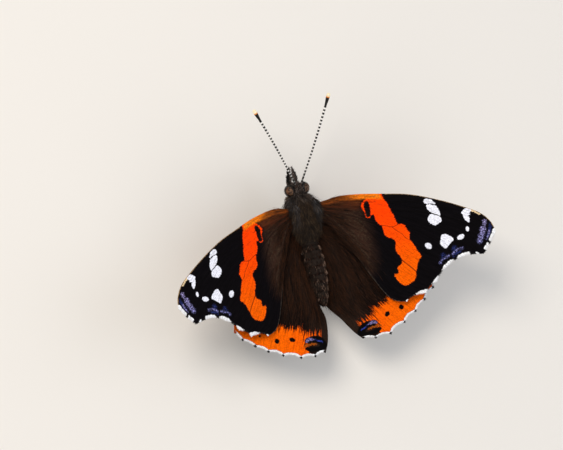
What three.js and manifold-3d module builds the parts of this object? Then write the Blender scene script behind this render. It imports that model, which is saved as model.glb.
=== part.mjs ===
import * as THREE from 'three';
import { mergeVertices } from 'three/addons/utils/BufferGeometryUtils.js';
import Module from 'manifold-3d';

const wasm = await Module();
wasm.setup();

// Red admiral butterfly (Vanessa atalanta), life size, in millimetres, wings raised in a shallow V.
// In the body's own frame X runs to the animal's left, Y to its tail and Z up. The origin lies on the
// body axis between the forewing hinges. Outlines of one side are given as [outward, tailward].

const GAP = 0.3; // clearance between neighbouring parts
const PITCH = THREE.MathUtils.degToRad(5); // the head is carried a little higher than the tail
const STANCE = 7.2; // height of the body axis over the floor, at the hinges
const SIDES = { left: 1, right: -1 };

const MEMBRANE = 0.5; // thickness of a wing
const VEIN_RISE = 0.22; // height of a vein over the membrane
const VEIN_HALF = 0.38; // from a vein's crest to its foot
const VEIN_ROOM = 0.45; // least distance from a crest to the points beside it
const FOOT_ROOM = 0.34; // the same for a vein's foot
const MARGIN_STEP = 0.8;
const VEIN_STEP = 1;
const FIELD_STEP = 1.8; // spacing of the free points between the veins

const FOREWING = {
  hinge: [2.6, 1.2], // outward and up from the body axis
  dihedral: THREE.MathUtils.degToRad(20.3),
  costa: [[-0.6, 0.3], [1.6, 0.12], [3.8, -0.02], [7, 0.4], [10.9, 1.25], [15.5, 2.45], [20, 4.45],
    [23.9, 6.6], [26.4, 8.3], [27.75, 10.1], [28.2, 11.9]],
  teeth: [[28.2, 11.9], [25.4, 15.15], [22, 14.8], [19.2, 15.75], [16.7, 17.9], [14.5, 19.4], [10.9, 19.95]],
  bays: [-0.2, 0.35, 0.3, 0.35, 0.35, 0.45], // depth of the margin between two teeth
  inner: [[10.9, 19.95], [9.1, 19.35], [7.6, 17.7], [5.6, 13.4], [4.6, 10.9], [2.9, 7.4], [1.2, 4.4],
    [-0.6, 2.6]],
  veins: {
    subcosta: [[0.4, 0.65], [7, 1.35], [13, 2.3]],
    radius: [[0.4, 1.1], [5, 2.1], [9, 3.2], [12.6, 4.5], [19, 6.7], [27.6, 11.6]],
    radius1: [[11, 3], [13.4, 3.3], [16.8, 4]],
    radius2: [[15.6, 4.75], [18.5, 5.25], [21.4, 6.2]],
    radius3: [[22.2, 7.5], [24.3, 8.4], [26.6, 9.9]],
    cellEnd: [[12.6, 4.5], [11.4, 5.7], [10.2, 7]],
    media1: [[12.4, 5.2], [17, 8], [24.9, 14.6]],
    media2: [[11.7, 6.2], [16, 9.2], [21.7, 14.2]],
    media3: [[10.6, 7.6], [14, 10.4], [18.9, 15.2]],
    cubitus: [[0.4, 1.5], [3.5, 2.8], [7, 4.8], [10.2, 7]],
    cubitus1: [[8.5, 6.3], [11.6, 10.4], [16.4, 17.3]],
    cubitus2: [[6.1, 4.7], [9.2, 9.8], [14.1, 18.8]],
    anal: [[0.5, 1.9], [3.6, 6.3], [10.4, 19.3]],
  },
};

const HINDWING = {
  hinge: [2.3, 4.5], // outward and tailward, the point that the wing swings about
  swing: { left: THREE.MathUtils.degToRad(-1.7), right: THREE.MathUtils.degToRad(1.7) },
  curl: { left: 0, right: 0.09 }, // how far the inner rear corner rolls under
  curlFrom: 20.5, // it starts this far tailward
  curlWidth: 8, // and fades out this far from the body axis
  curlDown: 1.2,
  curlIn: 0.7,
  rise: 0.18, // climb of the sheet for each millimetre tailward
  riseFrom: 4,
  spread: 0.05, // climb for each millimetre outward
  lift: { from: 9, amount: 0.014 }, // the outer part bends up under the forewing
  fold: { from: 3.4, amount: 0.28 }, // the inner part bends down
  flank: { from: 3.9, amount: 0.36, front: [5.5, 9], rear: [17, 20.5] }, // and more so beside the abdomen
  costa: [[1.6, 2.1], [5, 3.1], [9.5, 6.3], [14, 10.8], [17.4, 14.6], [18.9, 17.6]],
  teeth: [[18.9, 17.6], [17.9, 19.3], [15.9, 20.9], [13.8, 22.4], [11.4, 23.7], [8.4, 24.9], [5.8, 25.3],
    [3.8, 25]],
  bays: [0.15, 0.3, 0.3, 0.45, 0.5, 0.4, 0.3],
  inner: [[3.8, 25], [2.6, 23.2], [1.5, 20.6], [0.8, 18.6], [0.6, 16.5], [1.1, 14], [1.6, 11],
    [1.8, 8], [1.6, 5.6]],
  veins: {
    radius: [[3, 3.9], [8, 7.2], [13.4, 12.4], [18.3, 17.4]],
    sector: [[6, 6.4], [11, 11.8], [17.4, 18.9]],
    media1: [[9, 9.6], [12.4, 14.6], [15.5, 20.4]],
    media2: [[8.6, 10.6], [11.2, 16], [13.5, 21.9]],
    media3: [[7.4, 12], [9.4, 17.4], [11.1, 23.2]],
    cellEnd: [[9, 9.6], [8.6, 10.9], [7.4, 12]],
    cubitus: [[3, 4.6], [4.8, 7.8], [7.4, 12]],
    cubitus1: [[6.7, 11], [8, 17.6], [8.3, 24.3]],
    cubitus2: [[5.2, 8.5], [6.1, 16], [5.8, 24.6]],
    anal: [[2.9, 5.2], [3.8, 12], [4.1, 24.4]],
  },
};

// Rings along the body: distance tailward, half width, height over the axis and depth under it.
const THORAX = [[-1.6, 1.5, 1.3, 1.1], [-1.25, 2.05, 1.75, 1.6], [-0.5, 2.5, 2.25, 2.05],
  [0.6, 2.7, 2.55, 2.4], [2, 2.85, 2.75, 2.55], [3.4, 2.7, 2.6, 2.4], [4.6, 2.35, 2.25, 2.05],
  [5.5, 1.9, 1.8, 1.65], [6, 1.3, 1.25, 1.15]];
const HEAD = [[-1.9, 1.35, 1.1, 0.95], [-2.2, 1.5, 1.3, 1.1], [-2.75, 1.5, 1.45, 1.25],
  [-3.25, 1.3, 1.25, 1.15], [-3.6, 0.8, 0.8, 0.8]];
const ABDOMEN = {
  start: 6.3, end: 17.4, segments: 8, step: 0.09,
  halfWidth: [[0, 1.3], [0.15, 1.72], [0.35, 1.88], [0.55, 1.78], [0.75, 1.42], [0.9, 0.98], [1, 0.5]],
  height: 0.93, depth: 0.98, // against the half width
  rings: [[0.04, 0], [0.5, 0.6], [0.97, 1]], // place in a segment and share of the step
};
const BODY_SIDES = 20;

const BALL = { sides: 12, flatter: 0.7 }; // steps round a rounded lobe, and the share from pole to pole
const EYE = { place: [1.2, -2.8, 0.15], radii: [1.03, 1.0, 1.14], inside: 0.84, sides: 16, block: 4 };
const TEGULA = { place: [2.0, 0.6, 1.75], radii: [0.85, 1.9, 0.75] };
const COLLAR = { place: [0.8, -1.0, 1.25], radii: [0.85, 0.55, 0.6] };

const ANTENNA = {
  root: [0.3, -3.15, 1.15], tip: [6.9, -17.2, 7.3], arch: 0.6,
  shaft: 0.24, shaftRings: [0, 0.08, 0.25, 0.45, 0.65, 0.8],
  club: 0.4, clubLength: 2.2, clubRings: [[0, 0.62], [0.25, 0.78], [0.5, 1], [0.78, 0.97], [0.93, 0.7]],
  end: 0.16,
};
const FEELER_SIDES = 10;
const PALP = {
  path: [[0.56, -3.2, -0.7], [0.57, -4.1, -0.95], [0.54, -5, -0.95], [0.42, -5.9, -0.75],
    [0.3, -6.55, -0.55]],
  radii: [0.36, 0.42, 0.4, 0.28, 0.15],
};
const PROBOSCIS = {
  stalk: [[0, -3.05, -0.9], [0, -3.08, -1.9]], centre: [-4.1, -2.85], outer: 0.98, pitch: 0.58,
  turns: 1.25, stepsEachTurn: 18, radius: 0.27, sides: 8,
};
const FORELEG = {
  path: [[0.8, 0.5, -2.1], [0.9, -0.4, -2.6], [0.9, -1.3, -2.6], [0.9, -1.5, -3], [0.88, -0.8, -3.3],
    [0.8, 0.2, -3.35]],
  radii: [0.36, 0.36, 0.3, 0.28, 0.3, 0.2],
};

// Walking legs stand in the floor's frame: hip, knee and ankle, and the tip of the foot.
const FOOT = { centre: 0.17 }; // height of the middle of the foot over the floor
const LEGS = {
  midleg: { hip: [1.25, 1.6, 5], knee: [4.9, 1.7, 5.8], ankle: [6.5, 2.6, 0.45], toe: [9.2, 3.4] },
  hindleg: { hip: [1.2, 3.8, 4.8], knee: [4.6, 7.2, 5.3], ankle: [6, 10.9, 0.45], toe: [7.5, 14.1] },
};
const LEG_RADII = {
  femur: [0.32, 0.42, 0.43, 0.38, 0.33], knee: 0.32, tibia: [0.3, 0.3, 0.31, 0.3, 0.29],
  foot: [0.28, 0.27, 0.28, 0.27, 0.28], toe: 0.2,
};
const LEG_SIDES = 8;
const FLOOR = { across: 60, thick: 4 };

const COLOURS = {
  forewing: '#1d130e', hindwing: '#33231a', thorax: '#2f2a26', abdomen: '#37302a', head: '#2b2623',
  eye: '#3a2418', antenna: '#1b1714', palp: '#3a332d', proboscis: '#2a1c12', leg: '#6d5a45',
};
const ROUGHNESS = {
  forewing: 0.75, hindwing: 0.8, thorax: 0.9, abdomen: 0.85, head: 0.9, eye: 0.25, antenna: 0.6,
  palp: 0.85, proboscis: 0.4, leg: 0.7,
};

// A closed body from corner points and triangles of point numbers.
function closedBody(points, faces) {
  const geometry = new THREE.BufferGeometry();
  const flat = points.flatMap((p) => [p.x, p.y, p.z]);
  geometry.setAttribute('position', new THREE.Float32BufferAttribute(flat, 3));
  geometry.setIndex(faces.flat());
  return geometry;
}

function toSolid(source) {
  const bare = source.clone();
  bare.deleteAttribute('normal');
  bare.deleteAttribute('uv');
  const merged = mergeVertices(bare, 1e-4);
  return new wasm.Manifold(new wasm.Mesh({
    numProp: 3,
    vertProperties: new Float32Array(merged.attributes.position.array),
    triVerts: new Uint32Array(merged.index.array),
  }));
}

// Only the largest closed surface is kept, which drops loose scraps and fills sealed hollows.
function toGeometry(solid) {
  const largest = solid.decompose().reduce((a, b) => (b.volume() > a.volume() ? b : a));
  const mesh = largest.getMesh();
  const geometry = new THREE.BufferGeometry();
  geometry.setAttribute('position', new THREE.Float32BufferAttribute(mesh.vertProperties, 3));
  geometry.setIndex([...mesh.triVerts]);
  geometry.computeVertexNormals();
  return geometry;
}

function carve(whole, cutters) {
  return toGeometry(cutters.reduce((rest, cutter) => rest.subtract(toSolid(cutter)), toSolid(whole)));
}

// Rings of points joined to each other and closed by a point at each end.
function skinRings(rings, first, last) {
  const sides = rings[0].length;
  const points = [first, ...rings.flat(), last];
  const at = (ring, side) => 1 + ring * sides + (side % sides);
  const faces = [];
  for (let side = 0; side < sides; side += 1) {
    faces.push([0, at(0, side + 1), at(0, side)]);
    faces.push([points.length - 1, at(rings.length - 1, side), at(rings.length - 1, side + 1)]);
    for (let ring = 0; ring + 1 < rings.length; ring += 1) {
      faces.push([at(ring, side), at(ring, side + 1), at(ring + 1, side + 1)]);
      faces.push([at(ring, side), at(ring + 1, side + 1), at(ring + 1, side)]);
    }
  }
  return closedBody(points, faces);
}

// Egg-shaped rings across the Y axis, grown outward by the given amount.
function loft(stations, grow = 0) {
  const tailward = Math.sign(stations.at(-1)[0] - stations[0][0]);
  const rings = stations.map(([y, halfWidth, height, depth], i) => {
    const ends = { 0: -grow, [stations.length - 1]: grow };
    return Array.from({ length: BODY_SIDES }, (_, side) => {
      const angle = -tailward * (side / BODY_SIDES) * 2 * Math.PI;
      const upright = Math.sin(angle) > 0 ? height : depth;
      return new THREE.Vector3(
        (halfWidth + grow) * Math.cos(angle),
        y + tailward * (ends[i] ?? 0),
        (upright + grow) * Math.sin(angle),
      );
    });
  });
  const middle = (ring) => new THREE.Vector3(0, ring[0].y, 0);
  return skinRings(rings, middle(rings[0]), middle(rings.at(-1)));
}

// A round tube through the points, with a radius at each and a ring of corners there. The first
// ring's corners are counted from a direction that none of the tubes starts along.
function tube(points, radii, sides) {
  let across = new THREE.Vector3(0.3, 0.2, 1);
  const rings = points.map((point, i) => {
    const before = points[Math.max(i - 1, 0)];
    const after = points[Math.min(i + 1, points.length - 1)];
    const along = after.clone().sub(before).normalize();
    across = across.clone().addScaledVector(along, -across.dot(along)).normalize();
    const beside = along.clone().cross(across);
    return Array.from({ length: sides }, (_, side) => {
      const angle = (side / sides) * 2 * Math.PI;
      return point.clone()
        .addScaledVector(across, radii[i] * Math.cos(angle))
        .addScaledVector(beside, radii[i] * Math.sin(angle));
    });
  });
  return skinRings(rings, points[0], points.at(-1));
}

// A tube that bends smoothly through a few points, with the radius changing evenly between them.
function bentTube(points, radii, stepsEach, sides) {
  const curve = new THREE.CatmullRomCurve3(points, false, 'centripetal');
  const steps = (points.length - 1) * stepsEach;
  const path = curve.getPoints(steps);
  const widths = path.map((_, i) => {
    const before = Math.min(Math.floor(i / stepsEach), radii.length - 2);
    return THREE.MathUtils.lerp(radii[before], radii[before + 1], i / stepsEach - before);
  });
  return tube(path, widths, sides);
}

function ellipsoid([x, y, z], radii, grow, sides = BALL.sides) {
  const geometry = new THREE.SphereGeometry(1, sides, Math.round(sides * BALL.flatter));
  geometry.scale(...radii.map((radius) => radius + grow));
  geometry.translate(x, y, z);
  return geometry;
}

// Delaunay triangles over flat points, by adding one point at a time.
function triangulate(points) {
  const far = 1e4;
  const all = [...points, ...[[-far, -far], [far, -far], [0, far]].map((p) => new THREE.Vector2(...p))];
  const withCircle = (corners) => {
    const [a, b, c] = corners.map((i) => all[i]);
    const ab = b.clone().sub(a);
    const ac = c.clone().sub(a);
    const twice = 2 * ab.cross(ac);
    const centre = new THREE.Vector2(
      a.x + (ac.y * ab.lengthSq() - ab.y * ac.lengthSq()) / twice,
      a.y + (ab.x * ac.lengthSq() - ac.x * ab.lengthSq()) / twice,
    );
    return { corners, centre, reach: centre.distanceToSquared(a) };
  };
  let triangles = [withCircle([points.length, points.length + 1, points.length + 2])];
  points.forEach((point, i) => {
    const rim = new Map();
    triangles = triangles.filter(({ corners, centre, reach }) => {
      if (centre.distanceToSquared(point) >= reach) return true;
      corners.forEach((from, k) => {
        const to = corners[(k + 1) % 3];
        if (!rim.delete(`${to} ${from}`)) rim.set(`${from} ${to}`, [from, to]);
      });
      return false;
    });
    rim.forEach(([from, to]) => triangles.push(withCircle([from, to, i])));
  });
  return triangles.map(({ corners }) => corners).filter((corners) => Math.max(...corners) < points.length);
}

function isInside(point, outline) {
  return outline.reduce((inside, a, i) => {
    const b = outline[(i + 1) % outline.length];
    const crosses = (a.y > point.y) !== (b.y > point.y)
      && point.x < a.x + ((b.x - a.x) * (point.y - a.y)) / (b.y - a.y);
    return crosses ? !inside : inside;
  }, false);
}

// Distance from a flat point to a path of straight steps.
function gapToPath(point, path) {
  return Math.min(...path.slice(1).map((to, i) => {
    const step = to.clone().sub(path[i]);
    const share = THREE.MathUtils.clamp(point.clone().sub(path[i]).dot(step) / step.lengthSq(), 0, 1);
    return path[i].clone().addScaledVector(step, share).distanceTo(point);
  }));
}

const flatSpline = (points) => new THREE.SplineCurve(points.map((p) => new THREE.Vector2(...p)));

function spaced(curve, step) {
  return curve.getSpacedPoints(Math.max(2, Math.round(curve.getLength() / step)));
}

// The margin runs out along the costa, down the scalloped outer edge and back along the inner edge.
function wingOutline({ costa, teeth, bays, inner }) {
  const root = new THREE.Vector2(...inner.at(-1));
  const scallops = bays.map((depth, i) => {
    const from = new THREE.Vector2(...teeth[i]);
    const to = new THREE.Vector2(...teeth[i + 1]);
    const middle = from.clone().lerp(to, 0.5);
    const inward = root.clone().sub(middle).setLength(2 * depth);
    if (depth < 0) inward.negate();
    return new THREE.QuadraticBezierCurve(from, middle.add(inward.multiplyScalar(Math.sign(depth))), to);
  });
  const edges = [flatSpline(costa), ...scallops, flatSpline(inner)];
  return [...edges.flatMap((curve) => spaced(curve, MARGIN_STEP).slice(0, -1)), root];
}

// A wing as one sheet: its margin, the crest and feet of each vein, and free points between them.
function wingSheet(wing, side, place) {
  const outline = wingOutline(wing);
  const nodes = outline.map((point) => ({ point, rise: 0 }));
  const tryPoint = (point, rise, room) => {
    const clear = isInside(point, outline) && nodes.every((node) => node.point.distanceTo(point) > room);
    if (clear) nodes.push({ point, rise });
  };
  const crests = Object.values(wing.veins).map((vein) => spaced(flatSpline(vein), VEIN_STEP));
  crests.flat().forEach((point) => tryPoint(point, VEIN_RISE, VEIN_ROOM));
  crests.forEach((crest) => crest.forEach((point, i) => {
    const ahead = crest[Math.min(i + 1, crest.length - 1)];
    const along = ahead.clone().sub(crest[Math.max(i - 1, 0)]).normalize();
    const beside = new THREE.Vector2(-along.y, along.x);
    [VEIN_HALF, -VEIN_HALF].map((reach) => point.clone().addScaledVector(beside, reach))
      .filter((foot) => crests.every((other) => gapToPath(foot, other) > FOOT_ROOM))
      .forEach((foot) => tryPoint(foot, 0, FOOT_ROOM));
  }));
  const reach = new THREE.Box2().setFromPoints(outline);
  for (let x = reach.min.x; x < reach.max.x; x += FIELD_STEP) {
    for (let y = reach.min.y; y < reach.max.y; y += FIELD_STEP) {
      const free = new THREE.Vector2(x, y);
      const isFree = crests.every((crest) => gapToPath(free, crest) > FIELD_STEP / 2);
      if (isFree) tryPoint(free, 0, FIELD_STEP / 2);
    }
  }

  const flat = nodes.map((node) => node.point);
  const triangles = triangulate(flat).filter(([a, b, c]) => {
    const middle = flat[a].clone().add(flat[b]).add(flat[c]).divideScalar(3);
    return isInside(middle, outline);
  });
  const upper = nodes.map(({ point, rise }) => place(point, MEMBRANE / 2 + rise));
  const lower = nodes.map(({ point }) => place(point, -MEMBRANE / 2));
  const count = nodes.length;
  const faces = [];
  const rim = new Map();
  triangles.forEach(([a, b, c]) => {
    faces.push([a, b, c], [c + count, b + count, a + count]);
    [[a, b], [b, c], [c, a]].forEach(([from, to]) => {
      if (!rim.delete(`${to} ${from}`)) rim.set(`${from} ${to}`, [from, to]);
    });
  });
  rim.forEach(([from, to]) => {
    faces.push([from, from + count, to + count], [from, to + count, to]);
  });
  return closedBody([...upper, ...lower], side > 0 ? faces : faces.map(([a, b, c]) => [a, c, b]));
}

function forewing(side) {
  const [out, up] = FOREWING.hinge;
  const [cos, sin] = [Math.cos(FOREWING.dihedral), Math.sin(FOREWING.dihedral)];
  return wingSheet(FOREWING, side, (point, offset) => new THREE.Vector3(
    side * (out + point.x * cos - offset * sin),
    point.y,
    up + point.x * sin + offset * cos,
  ));
}

// Share of the fold that hugs the abdomen, from 0 to 1 along the body.
function besideAbdomen(y) {
  const { front, rear } = HINDWING.flank;
  return THREE.MathUtils.smoothstep(y, ...front) * (1 - THREE.MathUtils.smoothstep(y, ...rear));
}

// The hindwing is flatter, climbs to the rear, bends up under the forewing and down beside the abdomen.
function hindwingHeight(x, y) {
  const { rise, riseFrom, spread, lift, fold, flank } = HINDWING;
  const underForewing = lift.amount * Math.max(0, x - lift.from) ** 2;
  const drop = THREE.MathUtils.lerp(
    fold.amount * Math.max(0, fold.from - x) ** 2,
    flank.amount * Math.max(0, flank.from - x) ** 2,
    besideAbdomen(y),
  );
  return rise * (y - riseFrom) + spread * (x - FOREWING.hinge[0]) + underForewing - drop;
}

function hindwing(side, name) {
  const { swing, curl, curlFrom, curlWidth, curlDown, curlIn, flank } = HINDWING;
  const hinge = new THREE.Vector2(...HINDWING.hinge);
  return wingSheet(HINDWING, side, (point, offset) => {
    const turned = point.clone().rotateAround(hinge, -swing[name]);
    const inner = Math.max(0, 1 - point.x / curlWidth);
    const roll = curl[name] * Math.max(0, point.y - curlFrom) ** 2 * inner;
    const height = hindwingHeight(point.x, point.y) - curlDown * roll;
    const slope = 2 * flank.amount * Math.max(0, flank.from - point.x) * besideAbdomen(point.y);
    const upright = offset * Math.hypot(1, slope); // keeps the thickness where the sheet is steep
    return new THREE.Vector3(side * turned.x, turned.y - curlIn * roll, height + upright);
  });
}

function thorax(grow = 0) {
  const lobes = [TEGULA, COLLAR].flatMap(({ place: [x, y, z], radii }) => [
    ellipsoid([x, y, z], radii, grow), ellipsoid([-x, y, z], radii, grow),
  ]);
  return toGeometry(lobes.reduce((sum, lobe) => sum.add(toSolid(lobe)), toSolid(loft(THORAX, grow))));
}

// Each ring of the abdomen overhangs the front of the next one.
function abdomen(grow = 0) {
  const { start, end, segments, step, height, depth, rings } = ABDOMEN;
  const profile = new THREE.SplineCurve(ABDOMEN.halfWidth.map((p) => new THREE.Vector2(...p)));
  const halfWidth = (t) => profile.getPoint(t).y;
  const station = (i, wider) => {
    const along = profile.getPoint(i / segments).x;
    const width = halfWidth(i / segments) + wider;
    return [start + (end - start) * along, width, width * height, width * depth];
  };
  const stations = [];
  for (let i = 0; i < segments; i += 1) {
    rings.forEach(([place, share]) => stations.push(station(i + place, step * share)));
  }
  return loft(stations, grow);
}

function eye(side, grow = 0) {
  const { place: [x, y, z], radii, inside, sides, block } = EYE;
  const ball = toSolid(ellipsoid([side * x, y, z], radii, grow, sides));
  const inner = new THREE.BoxGeometry(block, block, block);
  inner.translate(side * (inside - grow - block / 2), y, z);
  return toGeometry(ball.subtract(toSolid(inner)));
}

function antenna(side) {
  const { root, tip, arch, shaft, shaftRings, club, clubLength, clubRings, end } = ANTENNA;
  const from = new THREE.Vector3(side * root[0], root[1], root[2]);
  const to = new THREE.Vector3(side * tip[0], tip[1], tip[2]);
  const clubShare = clubLength / from.distanceTo(to);
  const points = [];
  const radii = [];
  const push = (t, radius) => {
    const point = from.clone().lerp(to, t);
    point.z += arch * Math.sin(Math.PI * t);
    points.push(point);
    radii.push(radius);
  };
  shaftRings.forEach((t) => push(t, shaft));
  clubRings.forEach(([t, share]) => push(1 - clubShare * (1 - t), club * share));
  push(1, end);
  return tube(points, radii, FEELER_SIDES);
}

const mirrored = (path, side) => path.map(([x, y, z]) => new THREE.Vector3(side * x, y, z));

function palp(side) {
  return bentTube(mirrored(PALP.path, side), PALP.radii, 2, FEELER_SIDES);
}

// The tongue leaves the head downward and rolls into a flat coil between the palps.
function proboscis() {
  const { stalk, centre: [y, z], outer, pitch, turns, stepsEachTurn, radius, sides } = PROBOSCIS;
  const steps = Math.round(turns * stepsEachTurn);
  const coil = Array.from({ length: steps + 1 }, (_, i) => {
    const turn = (turns * i) / steps;
    const reach = outer - pitch * turn;
    const angle = -2 * Math.PI * turn;
    return new THREE.Vector3(0, y + reach * Math.cos(angle), z + reach * Math.sin(angle));
  });
  const points = [...stalk.map((p) => new THREE.Vector3(...p)), ...coil];
  return tube(points, points.map(() => radius), sides);
}

function foreleg(side) {
  return bentTube(mirrored(FORELEG.path, side), FORELEG.radii, 3, LEG_SIDES);
}

// Thigh and shin bend at the knee and the ankle, and the foot lies along the floor.
function walkingLeg({ hip, knee, ankle, toe }, side) {
  const [hipAt, kneeAt, ankleAt] = mirrored([hip, knee, ankle], side);
  const heel = new THREE.Vector3(side * ankle[0], ankle[1], FOOT.centre);
  const tip = new THREE.Vector3(side * toe[0], toe[1], FOOT.centre);
  const points = [];
  const radii = [];
  const stretch = (from, to, widths) => widths.forEach((width, i) => {
    points.push(from.clone().lerp(to, (i + 0.5) / widths.length));
    radii.push(width);
  });
  stretch(hipAt, kneeAt, LEG_RADII.femur);
  points.push(kneeAt);
  radii.push(LEG_RADII.knee);
  stretch(kneeAt, ankleAt, LEG_RADII.tibia);
  stretch(heel, tip, LEG_RADII.foot);
  points.push(tip);
  radii.push(LEG_RADII.toe);
  return tube(points, radii, LEG_SIDES);
}

function mesh(name, geometry, kind) {
  const material = new THREE.MeshStandardMaterial({
    color: COLOURS[kind], roughness: ROUGHNESS[kind], metalness: 0, side: THREE.FrontSide,
  });
  const part = new THREE.Mesh(geometry, material);
  part.name = name;
  return part;
}

const body = new THREE.Group();
body.rotation.x = -PITCH;
body.position.z = STANCE;
body.updateMatrix();

const headHull = loft(HEAD, GAP);
const thoraxHull = thorax(GAP);
const abdomenHull = abdomen(GAP);
const floorBlock = new THREE.BoxGeometry(FLOOR.across, FLOOR.across, FLOOR.thick);
floorBlock.translate(0, 0, -FLOOR.thick / 2);
const standingThorax = thoraxHull.clone().applyMatrix4(body.matrix);

const model = new THREE.Group();
model.add(body);
body.add(mesh('head', carve(loft(HEAD), Object.values(SIDES).map((side) => eye(side, GAP))), 'head'));
body.add(mesh('thorax', thorax(), 'thorax'));
body.add(mesh('abdomen', abdomen(), 'abdomen'));
body.add(mesh('proboscis', carve(proboscis(), [headHull]), 'proboscis'));
Object.entries(SIDES).forEach(([name, side]) => {
  body.add(mesh(`forewing_${name}`, carve(forewing(side), [thoraxHull]), 'forewing'));
  body.add(mesh(`hindwing_${name}`, carve(hindwing(side, name), [thoraxHull, abdomenHull]), 'hindwing'));
  body.add(mesh(`eye_${name}`, eye(side), 'eye'));
  body.add(mesh(`antenna_${name}`, carve(antenna(side), [headHull]), 'antenna'));
  body.add(mesh(`palp_${name}`, carve(palp(side), [headHull]), 'palp'));
  body.add(mesh(`foreleg_${name}`, carve(foreleg(side), [thoraxHull]), 'leg'));
  Object.entries(LEGS).forEach(([kind, joints]) => {
    model.add(mesh(`${kind}_${name}`, carve(walkingLeg(joints, side), [standingThorax, floorBlock]), 'leg'));
  });
});

// The origin is on the floor under the middle of the whole animal.
const reach = new THREE.Box3().setFromObject(model, true).getCenter(new THREE.Vector3());
model.position.set(-reach.x, -reach.y, 0);

export default model;
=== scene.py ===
import math

import bmesh
import bpy
import numpy as np
from mathutils import Matrix, Vector


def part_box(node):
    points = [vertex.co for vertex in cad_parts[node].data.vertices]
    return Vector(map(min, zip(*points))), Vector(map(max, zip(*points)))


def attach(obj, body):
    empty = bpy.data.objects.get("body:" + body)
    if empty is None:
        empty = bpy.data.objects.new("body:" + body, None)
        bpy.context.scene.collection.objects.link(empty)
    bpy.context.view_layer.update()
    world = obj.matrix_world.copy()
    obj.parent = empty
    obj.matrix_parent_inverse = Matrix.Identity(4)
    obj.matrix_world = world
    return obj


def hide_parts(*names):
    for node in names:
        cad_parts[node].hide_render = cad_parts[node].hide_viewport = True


# A red admiral, life size. Shapes are worked out in millimetres in the animal's own frame: x to
# its left, y to its tail, z up, from a point on the body axis between the forewings. settle()
# turns that into metres where the solids stand.

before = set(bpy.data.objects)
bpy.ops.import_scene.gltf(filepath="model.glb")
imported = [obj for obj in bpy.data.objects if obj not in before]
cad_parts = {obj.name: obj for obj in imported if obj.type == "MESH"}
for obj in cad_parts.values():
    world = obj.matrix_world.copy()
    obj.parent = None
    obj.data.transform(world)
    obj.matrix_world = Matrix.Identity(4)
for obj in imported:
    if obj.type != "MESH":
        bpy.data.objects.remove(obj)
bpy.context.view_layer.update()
print("frame loaded")

mm = 0.001
chance = np.random.default_rng(31)
sides = {"left": 1, "right": -1}

stance = {
    "pitch": 5,  # degrees, head up
    "eyeAt": (1.2, -2.8, 0.15),  # middle of the left eye, which fixes the frame
}

turn = Matrix.Rotation(math.radians(-stance["pitch"]), 3, "X")
eyeLow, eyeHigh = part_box("eye_left")
origin = (eyeLow + eyeHigh) / 2 - turn @ (Vector(stance["eyeAt"]) * mm)
origin.x = 0


def toFrame(points):
    return np.asarray(points) @ np.array(turn).T * mm + np.array(origin)


# Curves and distances on flat outlines


def smoothCurve(points, steps=12, closed=False):
    given = np.array(points, float)
    ends = (given[-1:], given[:2]) if closed else (given[:1], given[-1:])
    row = np.concatenate([ends[0], given, ends[1]])
    t = np.linspace(0, 1, steps, endpoint=False)[:, None]
    parts = [
        0.5 * (2 * b + (c - a) * t + (2 * a - 5 * b + 4 * c - d) * t**2 + (3 * b - 3 * c + d - a) * t**3)
        for a, b, c, d in zip(row[:-3], row[1:-2], row[2:-1], row[3:])
    ]
    return np.concatenate(parts + [row[-2:-1]])


def evenly(points, count):
    steps = np.linalg.norm(np.diff(points, axis=0), axis=1)
    reach = np.concatenate([[0], np.cumsum(steps)])
    at = np.linspace(0, reach[-1], count)
    return np.stack([np.interp(at, reach, column) for column in points.T], 1)


def pathDistance(points, path):
    nearest = np.full(len(points), np.inf)
    for a, b in zip(path[:-1], path[1:]):
        step = b - a
        share = np.clip(((points - a) @ step) / max(step @ step, 1e-12), 0, 1)
        nearest = np.minimum(nearest, np.linalg.norm(points - a - share[:, None] * step, axis=1))
    return nearest


# Millimetres inside a closed outline, negative outside.
def areaField(points, outline):
    within = np.zeros(len(points), bool)
    for a, b in zip(outline[:-1], outline[1:]):
        spans = (a[1] > points[:, 1]) != (b[1] > points[:, 1])
        if spans.any():
            crossing = a[0] + (b[0] - a[0]) * (points[:, 1] - a[1]) / (b[1] - a[1])
            within ^= spans & (points[:, 0] < crossing)
    return np.where(within, 1, -1) * pathDistance(points, outline)


# The marks of one colour: smooth closed outlines, and strokes with a half width.
def markField(points, areas=(), strokes=()):
    fields = [areaField(points, smoothCurve(outline, 6, closed=True)) for outline in areas]
    fields += [half - pathDistance(points, smoothCurve(path, 6)) for path, half in strokes]
    return np.max(fields, axis=0)


def ease(values, low, high):
    t = np.clip((values - low) / (high - low), 0, 1)
    return t * t * (3 - 2 * t)


# Meshes


def getPoints(mesh):
    points = np.empty(len(mesh.vertices) * 3)
    mesh.vertices.foreach_get("co", points)
    return points.reshape(-1, 3)


def setPoints(mesh, points):
    mesh.vertices.foreach_set("co", np.asarray(points, np.float32).ravel())
    mesh.update()


def store(mesh, name, values):
    values = np.asarray(values, np.float32)
    flat = values.ndim == 1
    made = mesh.attributes.new(name, "FLOAT" if flat else "FLOAT_VECTOR", "POINT")
    made.data.foreach_set("value" if flat else "vector", values.ravel())


def toMesh(bm, name):
    mesh = bpy.data.meshes.new(name)
    bm.to_mesh(mesh)
    bm.free()
    return mesh


def addObject(name, mesh, materials):
    piece = bpy.data.objects.new(name, mesh)
    bpy.context.scene.collection.objects.link(piece)
    for material in materials:
        mesh.materials.append(material)
    mesh.polygons.foreach_set("use_smooth", [True] * len(mesh.polygons))
    return piece


# The piece with its modifiers applied.
def applied(piece):
    graph = bpy.context.evaluated_depsgraph_get()
    mesh = bpy.data.meshes.new_from_object(piece.evaluated_get(graph))
    piece.modifiers.clear()
    piece.data = mesh
    return mesh


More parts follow.
